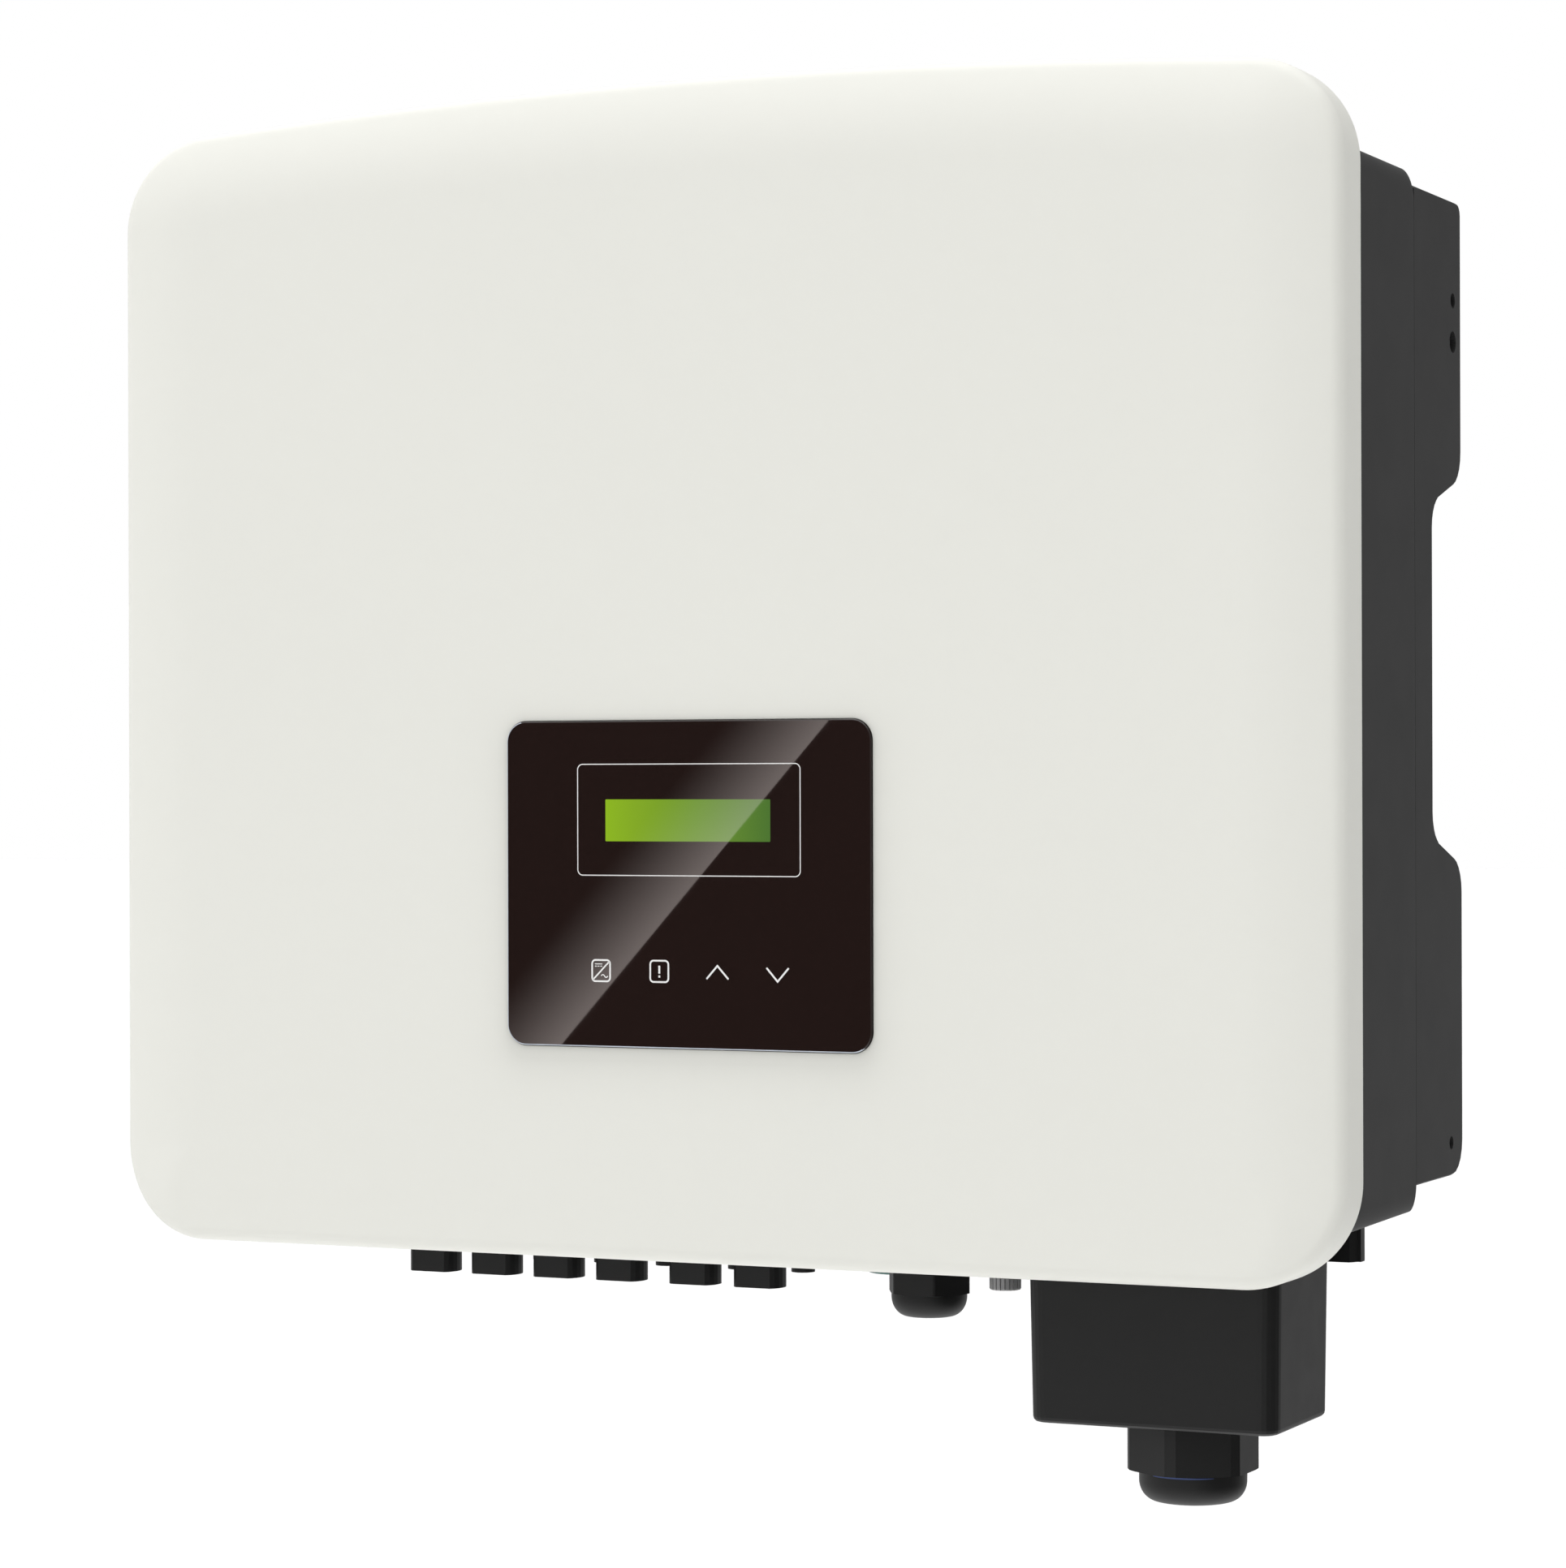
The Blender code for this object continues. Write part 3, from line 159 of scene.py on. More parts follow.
def turned(bm, middle, profile, steps=64):
    """Profile of (radius, up) spun about a vertical axis; radius 0 closes an end."""
    rings = []
    for radius, up in profile:
        ring = [at(x, y, up) for x, y in circle(middle, radius, steps)] if radius else [at(*middle, up)]
        rings.append([bm.verts.new(point) for point in ring])
    pairs = list(zip(rings, rings[1:]))
    if profile[0][0]:
        pairs.append((rings[-1], rings[0]))
    for near, far in pairs:
        for step in range(steps):
            before = step - 1
            if len(near) == 1:
                bm.faces.new((near[0], far[step], far[before]))
            elif len(far) == 1:
                bm.faces.new((near[before], near[step], far[0]))
            else:
                bm.faces.new((near[before], near[step], far[step], far[before]))


TUBE_SIDES = 8


def tube(bm, path, radius, closed):
    """Round wire along a path of points."""
    rings = []
    count = len(path)
    for index, place in enumerate(path):
        ahead = path[(index + 1) % count] if closed or index + 1 < count else place
        behind = path[index - 1] if closed or index else place
        along = (ahead - behind).normalized()
        side = along.orthogonal().normalized()
        if abs(along.y) < 0.9:
            side = along.cross(Vector((0, 1, 0))).normalized()
        lift = along.cross(side)
        ring = []
        for step in range(TUBE_SIDES):
            turn = 2 * math.pi * step / TUBE_SIDES
            ring.append(bm.verts.new(place + radius * (side * math.cos(turn) + lift * math.sin(turn))))
        rings.append(ring)
    pairs = list(zip(rings, rings[1:]))
    if closed:
        pairs.append((rings[-1], rings[0]))
    for near, far in pairs:
        skin(bm, near, far)
    if not closed:
        bm.faces.new(rings[0])
        bm.faces.new(rings[-1])


# ---- materials ----
def maths(tree, operation, first, second):
    """A maths node's result; each operand is a socket or a number."""
    made = tree.nodes.new("ShaderNodeMath")
    made.operation = operation
    for slot, value in zip(made.inputs, (first, second)):
        if hasattr(value, "is_output"):
            tree.links.new(value, slot)
        elif value is not None:
            slot.default_value = value
    return made.outputs["Value"]


class Finish:
    """A Principled material whose colour, roughness and bump come from fine noise in object space."""

    def __init__(self, name, color, roughness, **sockets):
        self.made = bpy.data.materials.new(name)
        self.made.use_nodes = True
        self.tree = self.made.node_tree
        self.shader = self.tree.nodes["Principled BSDF"]
        self.color = color
        self.roughness = roughness
        for socket, value in sockets.items():
            self.shader.inputs[socket.replace("_", " ")].default_value = value
        self.place = self.node("ShaderNodeTexCoord").outputs["Object"]

    def node(self, kind, **settings):
        made = self.tree.nodes.new(kind)
        for setting, value in settings.items():
            setattr(made, setting, value)
        return made

    def link(self, start, end):
        self.tree.links.new(start, end)

    def noise(self, scale, detail=3.0, stretch=(1.0, 1.0, 1.0)):
        mapping = self.node("ShaderNodeMapping")
        mapping.inputs["Scale"].default_value = stretch
        self.link(self.place, mapping.inputs["Vector"])
        made = self.node("ShaderNodeTexNoise")
        made.inputs["Scale"].default_value = scale
        made.inputs["Detail"].default_value = detail
        self.link(mapping.outputs["Vector"], made.inputs["Vector"])
        return made.outputs["Fac"]

    def spread(self, source, low, high):
        """A factor brought from the noise's usual reach to low..high."""
        made = self.node("ShaderNodeMapRange")
        made.inputs["From Min"].default_value = 0.3
        made.inputs["From Max"].default_value = 0.7
        made.inputs["To Min"].default_value = low
        made.inputs["To Max"].default_value = high
        self.link(source, made.inputs["Value"])
        return made.outputs["Result"]

    def math(self, operation, first, second=None):
        return maths(self.tree, operation, first, second)

    def mix(self, factor, first, second):
        """Colour between two, each a socket or three numbers."""
        made = self.node("ShaderNodeMix", data_type="RGBA")
        self.link(factor, made.inputs["Factor"])
        for socket, value in (("A", first), ("B", second)):
            slot = [s for s in made.inputs if s.name == socket and s.type == "RGBA"][0]
            if hasattr(value, "is_output"):
                self.link(value, slot)
            else:
                slot.default_value = (*value, 1.0)
        return [s for s in made.outputs if s.type == "RGBA"][0]

    def shade(self, scale, contrast, detail=3.0, stretch=(1.0, 1.0, 1.0)):
        """Colour that wanders by a share either side of the base colour."""
        low = tuple(c * (1 - contrast) for c in self.color)
        high = tuple(c * (1 + contrast) for c in self.color)
        factor = self.spread(self.noise(scale, detail, stretch), 0.0, 1.0)
        return self.mix(factor, low, high)

    def paint(self, color):
        self.link(color, self.shader.inputs["Base Color"])

    def gloss(self, scale, reach, stretch=(1.0, 1.0, 1.0)):
        """Roughness that wanders by reach either side of the base roughness."""
        source = self.noise(scale, 2.0, stretch)
        self.link(
            self.spread(source, self.roughness - reach, self.roughness + reach),
            self.shader.inputs["Roughness"],
        )

    def bump(self, height, depth, strength):
        """Relief of the given depth in metres."""
        made = self.node("ShaderNodeBump")
        made.inputs["Strength"].default_value = strength
        made.inputs["Distance"].default_value = depth
        self.link(height, made.inputs["Height"])
        self.link(made.outputs["Normal"], self.shader.inputs["Normal"])


def edge_distance(coat, low, high, corner):
    """Distance in the front plane from a rounded rectangle, 0 inside it."""
    split = coat.node("ShaderNodeSeparateXYZ")
    coat.link(coat.place, split.inputs["Vector"])
    reaches = []
    for axis, start, end in (("X", low.x, high.x), ("Z", low.z, high.z)):
        offset = coat.math("SUBTRACT", split.outputs[axis], (start + end) / 2)
        beyond = coat.math("SUBTRACT", coat.math("ABSOLUTE", offset), (end - start) / 2 - corner)
        past = coat.math("MAXIMUM", beyond, 0.0)
        reaches.append(coat.math("MULTIPLY", past, past))
    away = coat.math("SQRT", coat.math("ADD", *reaches))
    return coat.math("MAXIMUM", coat.math("SUBTRACT", away, corner), 0.0)


def fading(coat, distance, reach, amount):
    """A share that falls off exponentially with distance."""
    power = coat.math("MULTIPLY", distance, -1.0 / reach)
    return coat.math("MULTIPLY", coat.math("EXPONENT", power), amount)


WHITE_COAT = (0.805, 0.805, 0.752)
# Painted shadow round the display: a close band all round and a wider one dropped below, mixing the coat
# toward a dark shade of itself.
CLOSE_SHADOW = {"reach": 0.0014, "share": 0.15}
WIDE_SHADOW = {"reach": 0.0065, "share": 0.12, "drop": 0.005}
SHADOW_DEPTH = 0.05


def cover_coat_painted_shadow():
    """White powder coat with a painted shadow round the display, darkened close to its edge and in a
    wider band dropped below it.
    """
    coat = Finish("cover_coat_painted_shadow", WHITE_COAT, 0.55, Specular_IOR_Level=0.30)
    low = at(LENS["low"][0], 0.0, LENS["low"][1])
    high = at(LENS["high"][0], 0.0, LENS["high"][1])
    drop = Vector((0.0, 0.0, WIDE_SHADOW["drop"]))
    near = edge_distance(coat, low, high, LENS["corner"])
    below = edge_distance(coat, low - drop, high - drop, LENS["corner"])
    close = fading(coat, near, CLOSE_SHADOW["reach"], CLOSE_SHADOW["share"])
    wide = fading(coat, below, WIDE_SHADOW["reach"], WIDE_SHADOW["share"])
    shadow = coat.math("ADD", close, wide)
    dark = tuple(c * SHADOW_DEPTH for c in WHITE_COAT)
    coat.paint(coat.mix(shadow, coat.shade(9.0, 0.003), dark))
    coat.gloss(60.0, 0.03)
    coat.bump(coat.noise(2600.0, 2.0), 0.000010, 0.5)
    return coat.made


def white_powder_coat():
    coat = Finish("white_powder_coat", WHITE_COAT, 0.55, Specular_IOR_Level=0.30)
    coat.paint(coat.shade(9.0, 0.004))
    coat.gloss(60.0, 0.04)
    coat.bump(coat.noise(2600.0, 2.0), 0.000012, 0.6)
    return coat.made


def dark_powder_coat():
    coat = Finish("dark_powder_coat", (0.0235, 0.0235, 0.0237), 0.48, Specular_IOR_Level=0.23)
    coat.paint(coat.shade(22.0, 0.03))
    coat.gloss(45.0, 0.012)
    coat.bump(coat.noise(2400.0, 2.0), 0.000012, 0.6)
    return coat.made


def dark_aluminium():
    metal = Finish("dark_aluminium", (0.034, 0.034, 0.036), 0.42, Metallic=0.25)
    metal.paint(metal.shade(30.0, 0.12, 3.0, (1.0, 1.0, 0.05)))
    metal.gloss(400.0, 0.06, (1.0, 1.0, 0.03))
    metal.bump(metal.noise(1500.0, 2.0, (1.0, 1.0, 0.02)), 0.00002, 0.7)
    return metal.made


def black_plastic():
    plastic = Finish("black_plastic", (0.0108, 0.0108, 0.0108), 0.44, Specular_IOR_Level=0.31)
    plastic.paint(plastic.shade(25.0, 0.03))
    plastic.gloss(90.0, 0.015)
    plastic.bump(plastic.noise(3200.0, 2.0), 0.000008, 0.6)
    return plastic.made


def display_gloss():
    glass = Finish("display_gloss", (0.0166, 0.0092, 0.0080), 0.012, IOR=1.52)
    glass.paint(glass.shade(20.0, 0.02))
    glass.gloss(30.0, 0.003)
    return glass.made


# Pale bluish grey for the lens's left and lower bevels: a painted highlight along those edges.
def lens_edge_painted_highlight():
    edge = Finish("lens_edge_painted_highlight", (0.52, 0.56, 0.63), 0.20, IOR=1.45)
    edge.paint(edge.shade(200.0, 0.10))
    edge.gloss(60.0, 0.03)
    return edge.made


LCD_STOPS = (
    (0.00, (0.262, 0.465, 0.016)),
    (0.18, (0.225, 0.395, 0.019)),
    (0.55, (0.152, 0.295, 0.028)),
    (1.00, (0.070, 0.170, 0.030)),
)


def lcd_glow():
    """Backlit liquid-crystal glass: bright lime on the left, deeper green on the right, fine columns."""
    screen = Finish("lcd_glow", (0.004, 0.006, 0.002), 0.012, IOR=1.52)
    split = screen.node("ShaderNodeSeparateXYZ")
    screen.link(screen.place, split.inputs["Vector"])
    along = screen.node("ShaderNodeMapRange")
    along.inputs["From Min"].default_value = LCD_LOW[0]
    along.inputs["From Max"].default_value = LCD_HIGH[0]
    screen.link(split.outputs["X"], along.inputs["Value"])
    ramp = screen.node("ShaderNodeValToRGB")
    stops = ramp.color_ramp.elements
    for position, _ in LCD_STOPS[1:-1]:
        stops.new(position)
    for stop, (position, color) in zip(stops, LCD_STOPS):
        stop.position = position
        stop.color = (*color, 1.0)
    screen.link(along.outputs["Result"], ramp.inputs["Fac"])
    wave = screen.node("ShaderNodeTexWave", bands_direction="X")
    wave.inputs["Scale"].default_value = 520.0
    screen.link(screen.place, wave.inputs["Vector"])
    rows = screen.node("ShaderNodeMapRange")
    rows.inputs["To Min"].default_value = 0.97
    rows.inputs["To Max"].default_value = 1.02
    screen.link(wave.outputs["Fac"], rows.inputs["Value"])
    lit = screen.node("ShaderNodeVectorMath", operation="SCALE")
    screen.link(ramp.outputs["Color"], lit.inputs["Vector"])
    screen.link(rows.outputs["Result"], lit.inputs["Scale"])
    screen.link(lit.outputs["Vector"], screen.shader.inputs["Emission Color"])
    screen.shader.inputs["Emission Strength"].default_value = 1.0
    screen.paint(screen.shade(90.0, 0.05))
    screen.gloss(30.0, 0.003)
    return screen.made


def print_white():
    ink = Finish("print_white", (0.86, 0.86, 0.85), 0.35)
    ink.paint(ink.shade(300.0, 0.02))
    ink.gloss(200.0, 0.05)
    return ink.made


def colored_plastic(name, color, roughness):
    plastic = Finish(name, color, roughness, Specular_IOR_Level=0.4)
    plastic.paint(plastic.shade(40.0, 0.06))
    plastic.gloss(90.0, 0.04)
    plastic.bump(plastic.noise(2600.0, 2.0), 0.000016, 0.6)
    return plastic.made


def seal_rubber():
    rubber = Finish("seal_rubber", (0.017, 0.017, 0.017), 0.72)
    rubber.paint(rubber.shade(60.0, 0.15))
    rubber.gloss(120.0, 0.08)
    rubber.bump(rubber.noise(1400.0, 3.0), 0.00003, 0.7)
    return rubber.made


def bright_steel():
    steel = Finish("bright_steel", (0.52, 0.52, 0.53), 0.30, Metallic=1.0)
    steel.paint(steel.shade(35.0, 0.05))
    steel.gloss(600.0, 0.08, (0.02, 1.0, 1.0))
    steel.bump(steel.noise(1800.0, 2.0, (0.02, 1.0, 1.0)), 0.00001, 0.6)
    return steel.made


def board_laminate():
    """Green solder mask over a faint grid of copper tracks."""
    board = Finish("board_laminate", (0.012, 0.105, 0.045), 0.35)
    cells = board.node("ShaderNodeTexVoronoi", feature="DISTANCE_TO_EDGE")
    cells.inputs["Scale"].default_value = 160.0
    board.link(board.place, cells.inputs["Vector"])
    tracks = board.node("ShaderNodeMapRange")
    tracks.inputs["From Max"].default_value = 0.06
    board.link(cells.outputs["Distance"], tracks.inputs["Value"])
    board.paint(board.mix(tracks.outputs["Result"], (0.030, 0.190, 0.080), (0.012, 0.100, 0.042)))
    board.gloss(80.0, 0.05)
    return board.made


def winding_potting():
    """Lacquered copper winding: bands run round the block."""
    coil = Finish("winding_potting", (0.20, 0.075, 0.028), 0.38)
    wave = coil.node("ShaderNodeTexWave", bands_direction="Z")
    wave.inputs["Scale"].default_value = 160.0
    wave.inputs["Distortion"].default_value = 0.4
    coil.link(coil.place, wave.inputs["Vector"])
    coil.paint(coil.mix(wave.outputs["Fac"], (0.09, 0.030, 0.012), (0.26, 0.10, 0.035)))
    coil.bump(wave.outputs["Fac"], 0.0003, 0.8)
    coil.gloss(90.0, 0.05)
    return coil.made


# ---- the front cover ----
COVER = {
    "half": 0.241, "crown": 0.4234, "shoulder": 0.4161,
    "corner": 0.036, "depth": 0.025, "wall": 0.003,
}
SIDE_EDGE = {"reach": 0.0355, "dish": 0.0046, "roll": 0.0060}
TOP_EDGE = {"reach": 0.0338, "dish": 0.0080, "roll": 0.0064}
BOTTOM_EDGE = {"reach": 0.0100, "dish": 0.0000, "roll": 0.0052}
SEAL = {"half": 0.226, "low": 0.0208, "high": 0.385, "corner": 0.022, "width": 0.0045}
COVER_SCREWS = ((-0.190, 0.396), (0.190, 0.396), (-0.213, 0.0105), (0.213, 0.0105))
COVER_POST = {"radius": 0.0053, "foot_front": 0.0022, "top_front": 0.0032, "short": 0.0002}
POST_BORE = {"radius": 0.0023, "front": 0.0125}
LCD_WINDOW = ((-0.048, 0.090), (0.048, 0.184))
OVERCUT = 0.001
ROLL_STEPS = 10
DISH_STEPS = 22
CORNER_STEPS = 26
ARCH_STEPS = 40


def cover_outline():
    """(across, up, normal angle) round the cover, anticlockwise from the right side's foot."""
    half = COVER["half"]
    corner = COVER["corner"]
    inner = half - corner
    rise = COVER["crown"] - COVER["shoulder"]
    radius = (inner * inner + rise * rise) / (2 * rise)
    centre_up = COVER["crown"] - radius
    lean = math.asin(inner / radius)
    quarter = math.pi / 2
    shoulder = COVER["shoulder"] - corner
    arcs = [
        (inner, corner, -quarter, 0.0),
        (inner, shoulder, 0.0, quarter - lean),
        None,
        (-inner, shoulder, quarter + lean, math.pi),
        (-inner, corner, math.pi, math.pi + quarter),
    ]
    points = []
    for arc in arcs:
        if arc is None:
            for step in range(1, ARCH_STEPS):
                turn = quarter - lean + 2 * lean * step / ARCH_STEPS
                points.append((radius * math.cos(turn), centre_up + radius * math.sin(turn), turn))
            continue
        x, z, start, end = arc
        for step in range(CORNER_STEPS + 1):
            turn = start + (end - start) * step / CORNER_STEPS
            points.append((x + corner * math.cos(turn), z + corner * math.sin(turn), turn))
    return points


def edge_section(edge):
    """(inset, depth) from the rim to the flat face: side wall, roll, then a slow curve."""
    run, dish, roll = edge["reach"], edge["dish"], edge["roll"]
    tilt = 2 * math.atan2(dish, run - roll)
    for _ in range(4):
        tilt = 2 * math.atan2(dish, run - roll * (1 - math.sin(tilt)))
    start = dish + roll * math.cos(tilt)
    section = [(0.0, start)]
    for step in range(1, ROLL_STEPS + 1):
        turn = (math.pi / 2 - tilt) * step / ROLL_STEPS
        section.append((roll * (1 - math.cos(turn)), start - roll * math.sin(turn)))
    inset = section[-1][0]
    for step in range(1, DISH_STEPS + 1):
        part = step / DISH_STEPS
        section.append((inset + (run - inset) * part, dish * (1 - part) ** 2))
    return section


def cover_rings(inset_more, depth_more, back):
    """Rings from the cover's rear edge over its rim to the flat face, moved in and back for a wall."""
    sections = [edge_section(edge) for edge in (SIDE_EDGE, TOP_EDGE, BOTTOM_EDGE)]
    outline = cover_outline()
    rear = []
    for x, z, turn in outline:
        rear.append(at(x - inset_more * math.cos(turn), back, z - inset_more * math.sin(turn)))
    rings = [rear]
    last = len(sections[0]) - 1
    for index in range(last + 1):
        side, top, bottom = (section[index] for section in sections)
        extra = inset_more * (1 - index / last)
        ring = []
        for x, z, turn in outline:
            other = top if math.sin(turn) > 0 else bottom
            share = math.cos(turn) ** 2
            inset = share * side[0] + (1 - share) * other[0] + extra
            depth = share * side[1] + (1 - share) * other[1] + depth_more
            ring.append(at(x - inset * math.cos(turn), depth, z - inset * math.sin(turn)))
        rings.append(ring)
    return rings


def seal_outline(inset):
    low = (-SEAL["half"] + inset, SEAL["low"] + inset)
    high = (SEAL["half"] - inset, SEAL["high"] - inset)
    return rounded_rectangle(low, high, SEAL["corner"] - inset, 12)


LENS = {
    "low": (-0.0727, 0.0767), "high": (0.07145, 0.1935),
    "corner": 0.0075, "proud": 0.0009, "recess": 0.0012,
}
FIT = 0.0003


def lens_outline(grow):
    low = (LENS["low"][0] - grow, LENS["low"][1] - grow)
    high = (LENS["high"][0] + grow, LENS["high"][1] + grow)
    return rounded_rectangle(low, high, LENS["corner"] + grow, 14)


def build_cover(paint):
    """The shell with its sealing rib, its screw posts, the lens's seat and the window behind it."""
    bm = bmesh.new()
    loft(bm, cover_rings(0.0, 0.0, COVER["depth"]))
    shell = new_object("cover_shell", bm, [paint])
    hollow = bmesh.new()
    loft(hollow, cover_rings(COVER["wall"] - FIT, COVER["wall"], COVER["depth"] + 4 * OVERCUT))
    combine(shell, hollow, "DIFFERENCE")
    rib = bmesh.new()
    outer, inner = seal_outline(0.0), seal_outline(SEAL["width"])
    levels = (COVER["wall"] - 0.0005, COVER["depth"] - 0.0023)
    rings = [(outer, levels[0]), (outer, levels[1]), (inner, levels[1]), (inner, levels[0])]
    loops = [[rib.verts.new(at(x, back, z)) for x, z in ring] for ring, back in rings]
    for near, far in zip(loops, loops[1:] + loops[:1]):
        skin(rib, near, far)
    combine(shell, rib, "UNION")
    posts = bmesh.new()
    for place in COVER_SCREWS:
        front = COVER_POST["foot_front"] if place[1] < COVER["corner"] else COVER_POST["top_front"]
        lying(posts, circle(place, COVER_POST["radius"], 32), front, COVER["depth"] - COVER_POST["short"])
    combine(shell, posts, "UNION")
    holes = bmesh.new()
    for place in COVER_SCREWS:
        lying(holes, circle(place, POST_BORE["radius"], 20), POST_BORE["front"], COVER["depth"] + OVERCUT)
    lying(holes, lens_outline(FIT), -2 * OVERCUT, LENS["recess"])
    combine(shell, holes, "DIFFERENCE")
    window = bmesh.new()
    lying(window, rounded_rectangle(*LCD_WINDOW, 0.003, 4), 0.0002, 2 * COVER["wall"])
    combine(shell, window, "DIFFERENCE")
    soften(shell, 35)
    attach(shell, BODY)
    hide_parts("front_cover")


# ---- the display ----
LCD_LOW = (-0.0326, 0.1504)
LCD_HIGH = (0.0326, 0.1654)
PRINT_LIFT = 0.00003
LENS_FACE = -LENS["proud"]
LENS_BEVEL = 0.0004
BEVEL_STEPS = 3


def build_lens(gloss, edge):
    """The lens: deep gloss with a fine bevel, painted pale on the left and along the foot as a painted
    highlight.
    """
    stations = [(0.0, LENS["recess"] - FIT), (0.0, LENS_FACE + LENS_BEVEL)]
    for step in range(1, BEVEL_STEPS + 1):
        turn = math.pi / 2 * step / BEVEL_STEPS
        inset = LENS_BEVEL * (1 - math.cos(turn))
        stations.append((inset, LENS_FACE + LENS_BEVEL * (1 - math.sin(turn))))
    bm = bmesh.new()
    rings = [[at(x, back, z) for x, z in lens_outline(-inset)] for inset, back in stations]
    loft(bm, rings)
    low = at(LENS["low"][0], 0.0, LENS["low"][1])
    near_edge = LENS["corner"] * 0.8
    face_depth = at(0.0, LENS_FACE + LENS_BEVEL, 0.0).y
    # Bevel faces on the left and along the foot take the pale finish: a painted highlight where the light
    # catches the edge.
    for face in bm.faces:
        middle = face.calc_center_median()
        beveled = middle.y < face_depth and len(face.verts) == 4
        if beveled and (middle.x < low.x + near_edge or middle.z < low.z + near_edge / 4):
            face.material_index = 1
    lens = new_object("display_glass", bm, [gloss, edge], 10)
    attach(lens, BODY)
    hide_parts("display_lens")


def flat_piece(name, bm, finish):
    made = new_object(name, bm, [finish])
    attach(made, BODY)
    return made


def build_lcd(glow):
    bm = bmesh.new()
    outline = rounded_rectangle(LCD_LOW, LCD_HIGH, 0.0003, 3)
    lying(bm, outline, LENS_FACE - PRINT_LIFT, LENS_FACE + 0.0002)
    flat_piece("lcd_screen", bm, glow)


def stroke(bm, points, width, closed=False):
    """A printed line of even width along points (across, up), mitred at its corners."""
    places = [Vector(point) for point in points]
    count = len(places)
    left, right = [], []
    for index, place in enumerate(places):
        ahead = places[(index + 1) % count] if closed or index + 1 < count else None
        behind = places[index - 1] if closed or index else None
        first = (place - behind).normalized() if behind is not None else (ahead - place).normalized()
        second = (ahead - place).normalized() if ahead is not None else first
        normal = (Vector((-first.y, first.x)) + Vector((-second.y, second.x))).normalized()
        reach = width / 2 / max(0.3, normal.dot(Vector((-first.y, first.x))))
        left.append(place + normal * reach)
        right.append(place - normal * reach)
    sides = []
    for back in (LENS_FACE - PRINT_LIFT, LENS_FACE + 0.0001):
        sides.append([[bm.verts.new(at(p.x, back, p.y)) for p in line] for line in (left, right)])
    (top_left, top_right), (low_left, low_right) = sides
    lines = (top_left, top_right, low_right, low_left)
    spans = range(count) if closed else range(count - 1)
    for index in spans:
        after = (index + 1) % count
        for a, b in zip(lines, lines[1:] + lines[:1]):
            bm.faces.new((a[index], a[after], b[after], b[index]))
    if not closed:
        for index in (0, -1):
            bm.faces.new([line[index] for line in lines])


SCREEN_FRAME = {"low": (-0.0438, 0.1382), "high": (0.0442, 0.1780), "corner": 0.0020, "line": 0.00034}
KEY = {"across": 0.0072, "up": 0.0076, "corner": 0.0013, "line": 0.00062, "fine": 0.00030}
MODE_KEY = (-0.0381, 0.1002)
NOTICE_KEY = (-0.0148, 0.1003)
ARROW_KEYS = (("up", 0.0118, 0.1064, 0.1017), ("down", 0.0353, 0.1012, 0.1060))
ARROW = {"half": 0.0043, "line": 0.00066}


def key_frame(bm, low):
    """A key's rounded frame from its low corner; gives its high corner."""
    high = (low[0] + KEY["across"], low[1] + KEY["up"])
    stroke(bm, rounded_rectangle(low, high, KEY["corner"], 6), KEY["line"], True)
    return high


def build_screen_frame(ink):
    bm = bmesh.new()
    outline = rounded_rectangle(SCREEN_FRAME["low"], SCREEN_FRAME["high"], SCREEN_FRAME["corner"], 8)
    stroke(bm, outline, SCREEN_FRAME["line"], True)
    flat_piece("screen_frame_line", bm, ink)


def build_mode_key(ink):
    """A slash between the sign for direct current, a line over three dashes, and that for alternating."""
    bm = bmesh.new()
    low = MODE_KEY
    high = key_frame(bm, low)
    stroke(bm, [(low[0] + 0.0004, low[1] + 0.0006), (high[0] - 0.0004, high[1] - 0.0006)], 0.00055)
    left = low[0] + 0.0011
    line_up, dash_up = high[1] - 0.0014, high[1] - 0.0022
    stroke(bm, [(left, line_up), (left + 0.0030, line_up)], KEY["fine"])
    for index in range(3):
        start = left + 0.00108 * index
        stroke(bm, [(start, dash_up), (start + 0.00078, dash_up)], KEY["fine"])
    wave = []
    for step in range(17):
        part = step / 16
        across = high[0] - 0.0036 + 0.0027 * part
        wave.append((across, low[1] + 0.0019 + 0.0005 * math.sin(2 * math.pi * part)))
    stroke(bm, wave, 0.00036)
    flat_piece("mode_key_mark", bm, ink)


def build_notice_key(ink):
    """An exclamation mark: a bar over a dot."""
    bm = bmesh.new()
    low = NOTICE_KEY
    high = key_frame(bm, low)
    middle = (low[0] + high[0]) / 2
    for foot, top in ((low[1] + 0.0030, high[1] - 0.0018), (low[1] + 0.0016, low[1] + 0.00235)):
        stroke(bm, [(middle, foot), (middle, top)], 0.00075)
    flat_piece("notice_key_mark", bm, ink)


def build_arrow_keys(ink):
    for name, middle, tip, foot in ARROW_KEYS:
        bm = bmesh.new()
        ends = (middle - ARROW["half"], foot), (middle + ARROW["half"], foot)
        stroke(bm, [ends[0], (middle, tip), ends[1]], ARROW["line"])
        flat_piece(name + "_key_mark", bm, ink)


def build_prints(ink):
    """Frame line round the screen and the four touch-key marks, printed on the lens."""
    build_screen_frame(ink)
    build_mode_key(ink)
    build_notice_key(ink)
    build_arrow_keys(ink)


